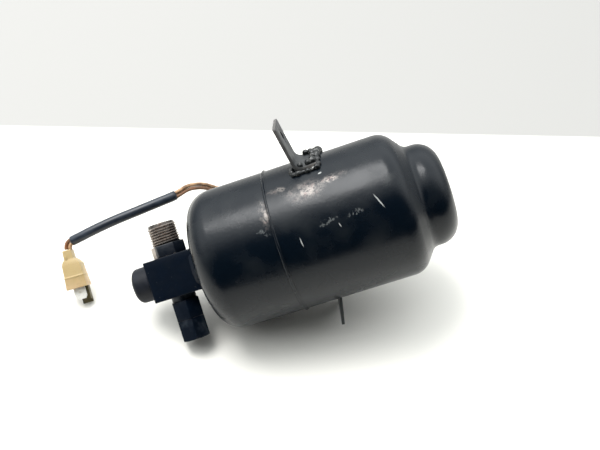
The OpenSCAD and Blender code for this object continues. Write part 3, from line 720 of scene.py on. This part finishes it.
# Points that the middle of the lead follows, from the boot's strain relief to the plug.
LEAD_ROUTE = [(-0.024, 0.0516, 0.0176), (-0.027, 0.0516, 0.0184), (-0.0305, 0.0508, 0.0196),
              (-0.0343, 0.0494, 0.0218), (-0.038, 0.048, 0.0256), (-0.042, 0.046, 0.03),
              (-0.0465, 0.0434, 0.0336), (-0.052, 0.04, 0.0364), (-0.059, 0.035, 0.0371),
              (-0.068, 0.0318, 0.0368), (-0.077, 0.0292, 0.036), (-0.085, 0.027, 0.0352),
              (-0.093, 0.025, 0.0342), (-0.101, 0.023, 0.0328), (-0.109, 0.021, 0.031),
              (-0.114, 0.0199, 0.0295), (-0.1195, 0.0194, 0.0273), (-0.1208, 0.0191, 0.0266),
              (-0.1218, 0.0184, 0.0258), (-0.1223, 0.0174, 0.0248), (-0.1224, 0.0163, 0.0239)]
SLEEVE_FIRST = 8
SLEEVE_LAST = 16
OVER_EACH_OTHER = Vector((0.14, 0.75, 0.64))
SIDE_BY_SIDE = Vector((0.98, 0.03, 0.17))
ROUTE_STEPS = 6  # points between two points of the route


def smooth_route():
    """The lead's middle line with its place along the route, as a smooth curve through the points."""
    given = [Vector(p) for p in LEAD_ROUTE]
    ends = [given[0] * 2 - given[1], *given, given[-1] * 2 - given[-2]]
    made = []
    for i in range(1, len(ends) - 2):
        a, b, c, d = ends[i - 1:i + 3]
        for k in range(ROUTE_STEPS + (i == len(ends) - 3)):
            t = k / ROUTE_STEPS
            made.append((i - 1 + t, 0.5 * (2 * b + (c - a) * t + (2 * a - 5 * b + 4 * c - d) * t * t
                                           + (3 * b - a - 3 * c + d) * t ** 3)))
    return made


def along(points, i):
    return (points[min(i + 1, len(points) - 1)] - points[max(i - 1, 0)]).normalized()


def wire_line(side, gap):
    """Middle line of one of the two wires, which turn about each other inside the sleeve."""
    places, points = zip(*smooth_route())
    made = []
    for i, place in enumerate(places):
        t = min(1, max(0, (place - SLEEVE_FIRST) / (SLEEVE_LAST - SLEEVE_FIRST)))
        want = OVER_EACH_OTHER.lerp(SIDE_BY_SIDE, t * t * (3 - 2 * t))
        forward = along(points, i)
        made.append(points[i] + (want - forward * want.dot(forward)).normalized() * side * gap)
    return made


def cord_curve(name, points, radius, capped=True):
    """A round cord along the points."""
    curve = bpy.data.curves.new(name, "CURVE")
    curve.dimensions = "3D"
    curve.bevel_depth = radius
    curve.bevel_resolution = 6
    curve.use_fill_caps = capped
    spline = curve.splines.new("POLY")
    spline.points.add(len(points) - 1)
    for place, point in zip(spline.points, points):
        place.co = (*point, 1)
    made = bpy.data.objects.new(name, curve)
    bpy.context.scene.collection.objects.link(made)
    return made


class DRIER_OT_lead(BuildOperator, bpy.types.Operator):
    """Add the two wires, their sleeve and the plug on their end"""
    bl_idname = "drier.lead"
    bl_label = "Lead"

    def build(self, sizes, colours):
        sleeve = self.sleeve(sizes, colours)
        plug = self.plug(colours)
        front = self.blade("front_blade", "blade_front", 0, -1.9, -29)
        rear = self.blade("rear_blade", "blade_rear", -1.4, 1.4, -27.5)
        grimy = linear("#74563C")
        skins = (moulded("tan_pvc", colours.tan_wire, grimy, 0.34, 0.8, 0.02),
                 moulded("brown_pvc", colours.brown_wire, grimy, 0.36, 0.8, 0.02))
        for letter, side, skin, carried in (("a", 1, skins[0], [sleeve, plug, front]),
                                            ("b", -1, skins[1], [rear])):
            line = wire_line(side, sizes.wire / 2 + 0.02 * MM)
            wire = cord_curve("lead_wire_" + letter, line, sizes.wire / 2)
            put(wire, skin)
            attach(wire, BODY)
            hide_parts("wire_" + letter)

    def sleeve(self, sizes, colours):
        """Vinyl tube: extruded, glossy blue-black, cut by hand at both ends."""
        points = [p for place, p in smooth_route() if SLEEVE_FIRST <= place <= SLEEVE_LAST]
        tube = cord_curve("sleeve_line", points, sizes.sleeve / 2, capped=False)
        graph = bpy.context.evaluated_depsgraph_get()
        bm = bmesh.new()
        bm.from_mesh(bpy.data.meshes.new_from_object(tube.evaluated_get(graph)))
        bpy.data.objects.remove(tube)
        bmesh.ops.remove_doubles(bm, verts=bm.verts[:], dist=0.01 * MM)
        bmesh.ops.recalc_face_normals(bm, faces=bm.faces[:])
        made = piece(bm, "vinyl_sleeve", Matrix.Identity(4), ["lead_sleeve"])
        modifier(made, "SOLIDIFY", thickness=0.4 * MM, offset=-1.0)
        vinyl = moulded("sleeve_vinyl", colours.sleeve, linear("#252E3A"), 0.36, 1.2, 0.02)
        put(made, vinyl)
        return made

    def plug(self, colours):
        """Two-way plug: a neck that the wires enter, a wider body with a step, and an open mouth."""
        bm = bmesh.new()
        stations = [(0, -3.2, 0.9, -2.8, 2.8), (-0.5, -3.5, 1.2, -3.1, 3.1), (-5.2, -3.7, 1.5, -3.1, 3.1),
                    (-6.4, -4.9, 2.8, -3.5, 3.4), (-8.8, -5.7, 4.6, -3.9, 3.9), (-15, -5.9, 4.9, -4.1, 4.1),
                    (-15.3, -6.1, 5.1, -4.35, 4.2), (-15.9, -6.1, 5.1, -4.35, 4.2),
                    (-16.2, -6, 5, -4.15, 4.1), (-21.9, -6.5, 5.4, -4.4, 4.3),
                    (-22.3, -6.3, 5.2, -4.2, 4.1)]
        rings = [[bm.verts.new(c) for c in self.corners(*station)] for station in stations]
        for upper, under in zip(rings, rings[1:]):
            for i in range(4):
                bm.faces.new((upper[i - 1], upper[i], under[i], under[i - 1]))
        bm.faces.new(rings[0])
        bm.faces.new(rings[-1][::-1])
        bmesh.ops.recalc_face_normals(bm, faces=bm.faces[:])
        bevel(bm, crisp(bm, 12), 0.35, 2)
        mouth = min(bm.faces, key=lambda f: (f.normal.z, -f.calc_area()))
        bmesh.ops.inset_individual(bm, faces=[mouth], thickness=1.0)
        hollow = verts_of(bmesh.ops.extrude_face_region(bm, geom=[mouth]))
        bmesh.ops.delete(bm, geom=[mouth], context="FACES_ONLY")
        bmesh.ops.translate(bm, verts=hollow, vec=(0, 0, 5))
        bmesh.ops.recalc_face_normals(bm, faces=bm.faces[:])
        arms = bmesh.new()
        box(arms, (-1.7, 3.0, -32), (4.2, 4.3, -18))
        box(arms, (3, 0.6, -30), (4.2, 4.2, -18))
        # The shroud's two walls take slot 1, a dark olive nylon: painted shade, as they stand behind the
        # front blade.
        for face in arms.faces:
            face.material_index = 1
        box(arms, (-2.9, -3.4, -5.6), (-1.7, -3.1, -3.4))
        bevel(arms, crisp(arms), 0.2, 2)
        merge(bm, arms)
        made = piece(bm, "plug_body", at_plug(), ["plug_housing"])
        # Slot 1 is the plug's nylon darkened to olive, painted shade for the shroud walls.
        shaded_olive = moulded("shaded_arm_nylon", linear("#5E5534"), linear("#484028"), 0.45, 0.7, 0.04)
        put(made, plug_nylon(colours), shaded_olive)
        return made

    def corners(self, z, left, right, near, far):
        return [(left, near, z), (right, near, z), (right, far, z), (left, far, z)]

    def blade(self, name, node, x, y, tip):
        """Flat blade terminal with a detent hole and a tapered tip."""
        half, thick = 3.15, 0.8
        outline = [(x - half, -7), (x - half, tip + 1.6), (x - half + 0.9, tip), (x + half - 0.9, tip),
                   (x + half, tip + 1.6), (x + half, -7)]
        bm = bmesh.new()
        drilled(bm, [(px, y, pz) for px, pz in outline], (x, y, tip + 4), turn(90, "X"), 0.75, 20)
        whole = bmesh.ops.extrude_face_region(bm, geom=bm.faces[:])
        bmesh.ops.translate(bm, verts=verts_of(whole), vec=(0, thick, 0))
        bmesh.ops.recalc_face_normals(bm, faces=bm.faces[:])
        made = piece(bm, name, at_plug(), [node])
        modifier(made, "BEVEL", width=0.12 * MM, segments=2, limit_method="ANGLE")
        # Near-white and barely metallic: matt oxidised tin, and a painted highlight of the sky the blades
        # face.
        put(made, shared("tinned_brass", plain_metal, "tinned_brass", linear("#FCFAF2"), 0.3, 0.2))
        return made


def at_plug():
    """Frame of the plug: +Z points back along the wires."""
    placed = Matrix.Translation((-0.1218, 0.0163, 0.02385))
    return placed @ turn(2, "Z") @ turn(-10, "Y") @ turn(-51, "X") @ Matrix.Scale(MM, 4)


def dome(inwards):
    """Outline of the header end as (radius, distance from the seam), moved inwards."""
    crown_x = CROWN_R - FRONT_LEN
    knuckle_x = crown_x - math.sqrt((CROWN_R - KNUCKLE_R) ** 2 - (CAN_R - KNUCKLE_R) ** 2)
    end = math.pi - math.asin((CAN_R - KNUCKLE_R) / (CROWN_R - KNUCKLE_R))
    points = arc((knuckle_x, CAN_R - KNUCKLE_R), KNUCKLE_R - inwards, math.pi / 2, end, 28)
    points += arc((crown_x, 0), CROWN_R - inwards, end, math.pi, 16)
    return [(r, x) for x, r in points]


def base(inwards):
    """Outline of the shoulder, neck and base as (radius, distance from the seam), moved inwards."""
    bend = (REAR_LEN, CAN_R - SHOULDER_R)
    cos, sin = math.cos(CONE_ANGLE), math.sin(CONE_ANGLE)
    start = (bend[0] + SHOULDER_R * sin, bend[1] + SHOULDER_R * cos)
    run = (start[1] - (NECK_R + ROOT_R * (1 - cos))) / sin
    root = (start[0] + run * cos + ROOT_R * sin, NECK_R + ROOT_R)
    points = arc(bend, SHOULDER_R - inwards, math.pi / 2, math.pi / 2 - CONE_ANGLE, 20)
    points += arc(root, ROOT_R + inwards, math.pi * 1.5 - CONE_ANGLE, math.pi * 1.5, 12)
    points += arc((BASE_X - RIM_R, NECK_R - RIM_R), RIM_R - inwards, math.pi / 2, 0, 20)
    points += [(BASE_X - inwards, 0)]
    return [(r, x) for x, r in points]


class DRIER_OT_shells(BuildOperator, bpy.types.Operator):
    """Add the two drawn shells and the seam between them"""
    bl_idname = "drier.shells"
    bl_label = "Canister"

    def build(self, sizes, colours):
        skin = shared("black_enamel", enamel, colours, sizes)
        for name, node, sign, lengths, outer, inner in (
                ("header_end_shell", "front_shell", -1, (0.35, 4, 12, 20), dome(0), dome(WALL)),
                ("base_end_shell", "rear_shell", 1, (0.35, 4, 12, 20, 30, 40, 50), base(0), base(WALL))):
            rows = [sign * x for x in lengths]
            wall_out = [(CAN_R, x) for x in rows]
            wall_in = [(CAN_R - WALL, x) for x in reversed(rows)]
            bm = lathe(bmesh.new(), wall_out + outer + inner[::-1] + wall_in, 160, closed=True)
            ripple(bm, 0.09, 22)
            made = piece(bm, name, along_x(0), [node], sharp=60)
            put(made, skin)
        self.seam(sizes, skin)

    def seam(self, sizes, skin):
        """A low rolled lip, a little uneven, with a groove on the base's side."""
        high = sizes.seam_height / MM
        outline = [(CAN_R - 0.5, -1.1), (CAN_R + 0.02, -1.05), (CAN_R + high * 0.8, -0.6),
                   (CAN_R + high, -0.2), (CAN_R + high * 0.85, 0.2), (CAN_R - 0.3, 0.45), (CAN_R - 0.3, 0.85),
                   (CAN_R + 0.04, 1.15), (CAN_R - 0.5, 1.2)]
        bm = lathe(bmesh.new(), outline, 240, closed=True)
        ripple(bm, 0.14, 3)
        made = piece(bm, "girth_seam", along_x(0), ["girth_weld"], sharp=80)
        put(made, skin)


# Lumps of weld round each foot: distance along the foot, distance across it, height above the shell, radius.
UPPER_WELD = [(-2, -14.3, 0.4, 1.5), (0.4, -14.6, 0.6, 1.7), (3, -14.4, 0.5, 1.3), (5.4, -14.7, 0.6, 1.6),
              (8, -14.3, 0.5, 1.3), (10.2, -13.8, 0.6, 1.8), (11.3, -11.5, 0.4, 1.6), (10.9, -9, 0.3, 1.2),
              (11.4, -6.6, 0.4, 1.6), (11, -4, 0.3, 1.3), (11.3, -1.4, 0.6, 2.1), (10.8, 1.2, 0.5, 1.7),
              (11.2, 3.8, 0.7, 2), (11.6, 6.4, 1, 2.3), (11.9, 9, 1.2, 2.6), (12, 11.6, 1.4, 2.8),
              (10.5, 13.6, 1.5, 2.7), (8, 14.4, 1.2, 2.3), (5.5, 14.6, 1, 2), (3, 14.4, 0.9, 1.8),
              (0.5, 14.6, 1, 2.2), (-1.8, 14.2, 0.8, 1.8), (-2.6, -12, 0.4, 1.7), (-2.4, -9.6, 0.3, 1.4),
              (8.4, 9.4, 2.2, 1.9), (9, 5, 1.6, 1.7), (5.6, 11.6, 2.7, 1.8), (9.4, -1, 1.3, 1.6),
              (8.8, -6.4, 1.5, 1.7), (6.6, -11.6, 2.8, 1.8), (2.4, -12.4, 3, 1.6), (9.2, -10.4, 2.4, 1.9)]
LOWER_WELD = [(-12, -13, 0.8, 1.9), (-12.3, -10.6, 0.5, 1.7), (-12.1, -8, 0.6, 1.9), (-12.3, -5.4, 0.5, 1.6),
              (-12, -2.8, 0.6, 1.8), (-12.2, -0.2, 0.5, 1.7), (-12, 2.4, 0.6, 1.8), (-9.6, -14.4, 1, 2),
              (-7, -14.6, 0.9, 1.8), (-4.4, -14.4, 1, 2), (-2, -14.6, 0.9, 1.9)]


class DRIER_OT_brackets(BuildOperator, bpy.types.Operator):
    """Add the two bent brackets and their welds"""
    bl_idname = "drier.brackets"
    bl_label = "Brackets"

    def build(self, sizes, colours):
        coat = bracket_enamel(colours)
        metal = weld_metal()
        strip, bend = sizes.strip / MM, sizes.bend / MM
        put(self.bent_strap(strip, bend), coat)
        put(self.edge_strap(strip), shared("black_enamel", enamel, colours, sizes))
        put(self.weld("upper", UPPER_ANGLE, UPPER_WELD), metal)
        put(self.weld("lower", LOWER_ANGLE, LOWER_WELD), metal)

    def flange(self, before, height, after=()):
        """An upright sheet with two rounded corners and a bolt hole, over the points of its lower edge."""
        half, up = BRACKET_W / 2 - FLANGE_CORNER, height - FLANGE_CORNER
        outline = list(before)
        outline += arc((-half, up), FLANGE_CORNER, math.pi, math.pi / 2, 5)
        outline += arc((half, up), FLANGE_CORNER, math.pi / 2, 0, 5)
        outline += after
        bm = bmesh.new()
        drilled(bm, [(0, *point) for point in outline], (0, 0, height - BOLT_DOWN), turn(90, "Y"), BOLT_R, 32)
        return bm

    def bent_strap(self, strip, bend):
        """The upper strip's outer side: a flat flange, a bend and a flat foot, made thick by a modifier."""
        lean, half, columns = UPPER_LEAN, BRACKET_W / 2, 14
        low = bend + strip
        ends = [(half - 2 * half * i / columns, low) for i in range(columns)]
        bm = self.flange([(-half, low)], UPPER_H, ends)
        flange = bm.verts[:]
        row = [e for e in bm.edges if all(abs(v.co.z - low) < 1e-4 for v in e.verts)]
        turns = 8
        bmesh.ops.rotate(bm, verts=flange, cent=(0, 0, low), matrix=turn(-lean, "Y").to_3x3())
        hub = Vector((low * math.cos(math.radians(lean)), 0, low + low * math.sin(math.radians(lean))))
        for _ in range(turns):
            grown = bmesh.ops.extrude_edge_only(bm, edges=row)
            row = [g for g in grown["geom"] if isinstance(g, bmesh.types.BMEdge)]
            step = turn(-(90 - lean) / turns, "Y").to_3x3()
            bmesh.ops.rotate(bm, verts=verts_of(grown), cent=hub, matrix=step)
        grown = bmesh.ops.extrude_edge_only(bm, edges=row)
        bmesh.ops.translate(bm, verts=verts_of(grown), vec=(UPPER_FOOT - low, 0, 0))
        lowest = min(v.co.z for v in bm.verts)
        bmesh.ops.translate(bm, verts=bm.verts[:], vec=(0, 0, 0.03 - lowest))
        bmesh.ops.recalc_face_normals(bm, faces=bm.faces[:])
        made = piece(bm, "upper_strap", at_bracket(UPPER_ANGLE), ["upper_bracket"])
        modifier(made, "SOLIDIFY", thickness=strip * MM, offset=-1.0)
        modifier(made, "BEVEL", width=0.25 * MM, segments=2, limit_method="ANGLE")
        return made

    def edge_strap(self, strip):
        """The lower strip: a flange cut to the shell's curve, on a narrower foot towards the header."""
        shell = [(y, math.sqrt(CAN_R ** 2 - y ** 2) - CAN_R + 0.05) for y in range(14, -15, -2)]
        bm = self.flange(shell, LOWER_H)
        whole = bmesh.ops.extrude_face_region(bm, geom=bm.faces[:])
        bmesh.ops.translate(bm, verts=verts_of(whole), vec=(-strip, 0, 0))
        bmesh.ops.rotate(bm, verts=bm.verts[:], cent=(0, 0, 0), matrix=turn(-LOWER_LEAN, "Y").to_3x3())
        box(bm, (-LOWER_FOOT, -14, 0.03), (-0.5, 4, strip))
        bmesh.ops.recalc_face_normals(bm, faces=bm.faces[:])
        made = piece(bm, "lower_strap", at_bracket(LOWER_ANGLE), ["lower_bracket"])
        modifier(made, "BEVEL", width=0.25 * MM, segments=2, limit_method="ANGLE")
        return made

    def weld(self, name, angle, places):
        """Lumps of weld round the foot, melted together."""
        bm = bmesh.new()
        for x, y, above, radius in places:
            fall = CAN_R - math.sqrt(CAN_R ** 2 - y ** 2)
            place = Matrix.Translation((x, y, above - fall))
            bmesh.ops.create_icosphere(bm, subdivisions=3, radius=radius, matrix=place)
        made = piece(bm, name + "_weld", at_bracket(angle), [name + "_bracket_weld"])
        modifier(made, "REMESH", mode="VOXEL", voxel_size=0.28 * MM, use_smooth_shade=True)
        modifier(made, "SMOOTH", factor=0.5, iterations=12)
        settle(made)
        return made


class DRIER_OT_header(BuildOperator, bpy.types.Operator):
    """Add the header block and finish its weld"""
    bl_idname = "drier.header"
    bl_label = "Header block"

    def build(self, sizes, colours):
        bm = bmesh.new()
        box(bm, (-BLOCK_X, -BLOCK_W / 2, -BLOCK_H / 2), (-45.5, BLOCK_W / 2, BLOCK_H / 2))
        bevel(bm, bm.edges[:], sizes.edge_round / MM, 3)
        bmesh.ops.subdivide_edges(bm, edges=[e for e in bm.edges if e.calc_length() > 5], cuts=5,
                                  use_grid_fill=True)
        ripple(bm, 0.06, 5)
        made = piece(bm, "header", LAY, ["header_block"])
        coat = shared("matt_black_paint", block_paint, colours)
        put(made, coat)
        put(frame["nodes"]["header_weld"], coat)


class DRIER_OT_inlet(BuildOperator, bpy.types.Operator):
    """Add the inlet's hexagon and thread"""
    bl_idname = "drier.inlet"
    bl_label = "Inlet"

    def build(self, sizes, colours):
        bm = bmesh.new()
        hexagon(bm, INLET_FLATS, BLOCK_H / 2 + 0.02, 17.5, 0.35, INLET_TURN)
        lathe(bm, [(4.8, 17.2), (4.8, 28.6), (5.4, 29.2), (6.7, 29.2), (7.2, 28.4), (7.1, 17.2)], 64,
              closed=True)
        pitch = sizes.thread_pitch / MM
        self.thread(bm, 7.94, 7.1, pitch, 18.3, 28.5)
        made = piece(bm, "inlet_fitting", at_inlet(0), ["inlet_union"], sharp=40)
        put(made, thread_steel(colours), collar_paint(colours))
        seat = LAY @ Vector((-PORT_X, 0, 17.55))
        up = (LAY.to_3x3() @ Vector((0, 0, 1))).normalized()
        for face in made.data.polygons:
            face.material_index = int((face.center - seat).dot(up) < 0)

    def thread(self, bm, crest, root, pitch, low, high):
        """A helical ridge swept round +Z, one turn to a pitch."""
        section = [(root, 0), (crest - 0.06, pitch * 0.4), (crest - 0.06, pitch * 0.54), (root, pitch * 0.94)]
        verts = [bm.verts.new((r, 0, low - pitch + z)) for r, z in section]
        edges = [bm.edges.new(pair) for pair in zip(verts, verts[1:])]
        turns, steps = (high - low) / pitch, 48
        count = int(turns * steps)
        bmesh.ops.spin(bm, geom=verts + edges, cent=(0, 0, 0), axis=(0, 0, 1),
                       angle=2 * math.pi * count / steps, dvec=(0, 0, pitch / steps), steps=count)


class DRIER_OT_outlet(BuildOperator, bpy.types.Operator):
    """Add the outlet's hexagon and its cap nut"""
    bl_idname = "drier.outlet"
    bl_label = "Outlet"

    def build(self, sizes, colours):
        coat = shared("matt_black_paint", block_paint, colours)
        bm = bmesh.new()
        lathe(bm, [(0, BLOCK_H / 2 - 1), (6.6, BLOCK_H / 2 - 1), (6.6, 13.8), (6.3, 14.3), (0, 14.3)], 64)
        hexagon(bm, OUTLET_FLATS, 14.2, 24.48, 0.35, OUTLET_TURN)
        lathe(bm, [(3.2, 24.3), (5.5, 24.3), (5.5, 33.1), (5.1, 33.5), (3.2, 33.5)], 64, closed=True)
        union = piece(bm, "outlet_fitting", at_outlet(0), ["outlet_union"], sharp=40)
        put(union, coat)
        bm = bmesh.new()
        self.nut(bm)
        nut = piece(bm, "outlet_nut", at_outlet(24.56), ["outlet_cap_nut"], body="outlet_cap_nut",
                    sharp=40)
        put(nut, coat)

    def nut(self, bm):
        """A closed hexagon nut, hollow from its mouth, with turned chamfers on both ends."""
        flats, long, bore, deep = OUTLET_FLATS, 11.3, 5.65, 9.85
        corner = flats / 2 / math.cos(math.pi / 6)
        profile = [(bore, 0), (flats / 2 + 0.3, 0), (corner, 0.7), (corner, long - 0.9),
                   (flats / 2 + 0.2, long), (0, long)]
        lathe(bm, profile, 96)
        for i in range(6):
            normal = Matrix.Rotation(math.radians(60 * i + 30 + OUTLET_TURN), 3, "Z") @ Vector((1, 0, 0))
            bmesh.ops.bisect_plane(bm, geom=bm.verts[:] + bm.edges[:] + bm.faces[:],
                                   plane_co=normal * flats / 2, plane_no=normal, clear_outer=True)
            rim = [e for e in bm.edges if e.is_boundary
                   and all(abs(v.co.dot(normal) - flats / 2) < 1e-3 for v in e.verts)]
            bmesh.ops.contextual_create(bm, geom=rim)
        inside = bmesh.new()
        lathe(inside, [(bore, 0), (bore, deep - 0.3), (bore - 0.3, deep), (0, deep)], 96)
        bmesh.ops.reverse_faces(inside, faces=inside.faces[:])
        merge(bm, inside)
        bmesh.ops.remove_doubles(bm, verts=bm.verts[:], dist=0.01)
        bmesh.ops.recalc_face_normals(bm, faces=bm.faces[:])


class DRIER_OT_sight_glass(BuildOperator, bpy.types.Operator):
    """Add the sight glass's rubber cap"""
    bl_idname = "drier.sight_glass"
    bl_label = "Sight glass"

    def build(self, sizes, colours):
        outline = rounded([(7.05, 0, 0), (9.4, 0, 0.3), (9.65, 0.35, 0.2), (9.55, 9.6, 2.4), (0, 9.6, 0)], 8)
        inner = [(0, 4.6), (7.05, 4.6)]
        bm = lathe(bmesh.new(), inner + outline, 96)
        ripple(bm, 0.1, 4)
        made = piece(bm, "sight_glass_cap", towards_header(-BLOCK_X - 0.02), ["sight_cap"], body="sight_cap",
                     sharp=50)
        put(made, moulded("cap_rubber", colours.rubber, linear("#1B1E27"), 0.5, 0.9, 0.05, 1.32))


class DRIER_OT_switch(BuildOperator, bpy.types.Operator):
    """Add the pressure switch's boss, body and boot"""
    bl_idname = "drier.switch"
    bl_label = "Pressure switch"

    def build(self, sizes, colours):
        skin = shared("black_enamel", enamel, colours, sizes)
        bm = lathe(bmesh.new(), rounded([(5.6, 35, 0), (9.5, 35, 0), (9.5, 45, 0.6), (5.6, 45, 0)]), 64,
                   closed=True)
        boss = piece(bm, "switch_socket", at_switch(0), ["switch_boss"])
        put(boss, skin)
        put(frame["nodes"]["switch_boss_weld"], shared("painted_weld", weld_metal))

        bm = bmesh.new()
        hexagon(bm, 19, 45.02, 49.5, 0.4)
        lathe(bm, rounded([(0, 49, 0), (9.4, 49, 0.4), (9.4, 62.9, 0.5), (0, 62.9, 0)]), 64)
        body = piece(bm, "switch_case", at_switch(0), ["switch_body"])
        put(body, shared("zinc_plate", plain_metal, "zinc_plate", linear("#B9B7AE"), 0.3))

        outline = rounded([(9.42, 60.5, 0), (10.3, 60.5, 0.3), (10.3, 64.5, 1.2), (8.2, 75.8, 1.5),
                           (7.8, 77.4, 1.4), (0, 77.4, 0)], 6)
        bm = bmesh.new()
        lathe(bm, outline, 80)
        neck = rounded([(0, 2, 0), (4.4, 2, 0), (3.9, 6, 1.5), (2.7, 12.2, 1), (2.5, 13, 0.4), (0, 13, 0)], 5)
        relief = bmesh.new()
        lathe(relief, neck, 48)
        relief.transform(Matrix.Translation((0, 0, 70)) @ turn(90, "X") @ turn(-32, "Y"))
        merge(bm, relief)
        boot = piece(bm, "switch_boot_skin", at_switch(0), ["switch_boot"], sharp=50)
        put(boot, moulded("boot_rubber", linear("#26272A"), linear("#3A3B3D"), 0.5, 1.0, 0.05))


# Finishes of the pieces that stay as the frame has them: name, colour, roughness and the nodes.
PLAIN_METALS = [("zinc_plate", "#B9B7AE", 0.3, ["switch_diaphragm", "switch_spring", "pack_spring",
                                               "front_plate", "rear_plate", "pickup_screen"]),
                ("drawn_aluminium", "#D5D6D8", 0.28, ["pickup_tube"]),
                ("brass_strip", "#C8A45E", 0.28,
                 ["sight_glass_retainer", "switch_terminals", "switch_contact"]),
                ("copper_disc", "#C27E58", 0.3, ["outlet_seal"])]
PLAIN_MOULDINGS = [("seal_rubber", "#18181A", "#26262A", 0.5, ["inlet_oring", "outlet_oring", "switch_oring",
                                                             "sight_glass_seal"]),
                   ("wool_felt", "#D6D0C2", "#BDB6A4", 0.85, ["front_felt", "rear_felt"]),
                   ("zeolite_beads", "#D2BE98", "#A98F66", 0.8, ["desiccant_bed"]),
                   ("phenolic_board", "#3A2A20", "#241A14", 0.4, ["switch_guide", "switch_base"]),
                   ("white_nylon", "#E2DECF", "#CFC9B4", 0.4, ["switch_plunger"])]


class DRIER_OT_inner_pieces(BuildOperator, bpy.types.Operator):
    """Finish the pieces inside the canister and the switch"""
    bl_idname = "drier.inner_pieces"
    bl_label = "Inner pieces"

    def build(self, sizes, colours):
        for name, code, rough, nodes in PLAIN_METALS:
            metal = shared(name, plain_metal, name, linear(code), rough)
            for node in nodes:
                put(frame["nodes"][node], metal)
        for name, code, shade, rough, nodes in PLAIN_MOULDINGS:
            skin = shared(name, moulded, name, linear(code), linear(shade), rough, 0.8, 0.08)
            for node in nodes:
                put(frame["nodes"][node], skin)
        glass, tree = material("sight_glass")
        cloud = add(tree, "TexNoise", {"Vector": millimetres(tree), "Scale": 1 / 3, "Detail": 3.0})
        rough = add(tree, "MapRange", {"Value": cloud, "From Min": 0.3, "From Max": 0.7, "To Min": 0.02,
                                       "To Max": 0.08}, interpolation_type=SOFT)
        shader = add(tree, "BsdfPrincipled", {"Roughness": rough, "IOR": 1.52, "Transmission Weight": 1.0})
        add(tree, "OutputMaterial", {"Surface": shader})
        put(frame["nodes"]["sight_glass"], glass)
        # The springs, which shorten as the plate and the plunger move against them, each get a mesh of their
        # own.
        for node, joint, place, keep in (("pack_spring", "rear_plate_travel", along_x(68.12), 0.857),
                                         ("switch_spring", "switch_plunger_travel", at_switch(59.95), 0.757)):
            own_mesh(frame["nodes"][node])


OPERATORS = [DRIER_OT_stage, DRIER_OT_lead, DRIER_OT_shells, DRIER_OT_brackets, DRIER_OT_header,
             DRIER_OT_inlet, DRIER_OT_outlet, DRIER_OT_sight_glass, DRIER_OT_switch, DRIER_OT_inner_pieces]


class DRIER_PT_panel(bpy.types.Panel):
    """Lists the sizes, the colours and the pieces."""
    bl_idname = "DRIER_PT_panel"
    bl_label = "Receiver-drier"
    bl_space_type = "VIEW_3D"
    bl_region_type = "UI"
    bl_category = "Drier"

    def draw(self, context):
        for group in (context.scene.drier_sizes, context.scene.drier_colours):
            for name in group.bl_rna.properties.keys():
                if name not in ("name", "rna_type"):
                    self.layout.prop(group, name)
        for operator in OPERATORS:
            self.layout.operator(operator.bl_idname)


CLASSES = [DrierSizes, DrierColours, *OPERATORS, DRIER_PT_panel]


def register():
    for one in CLASSES:
        bpy.utils.register_class(one)
    bpy.types.Scene.drier_sizes = PointerProperty(type=DrierSizes)
    bpy.types.Scene.drier_colours = PointerProperty(type=DrierColours)


def unregister():
    del bpy.types.Scene.drier_colours
    del bpy.types.Scene.drier_sizes
    for one in reversed(CLASSES):
        bpy.utils.unregister_class(one)


def main():
    register()
    for operator in OPERATORS:
        group, name = operator.bl_idname.split(".")
        getattr(getattr(bpy.ops, group), name)()


if __name__ == "__main__":
    main()
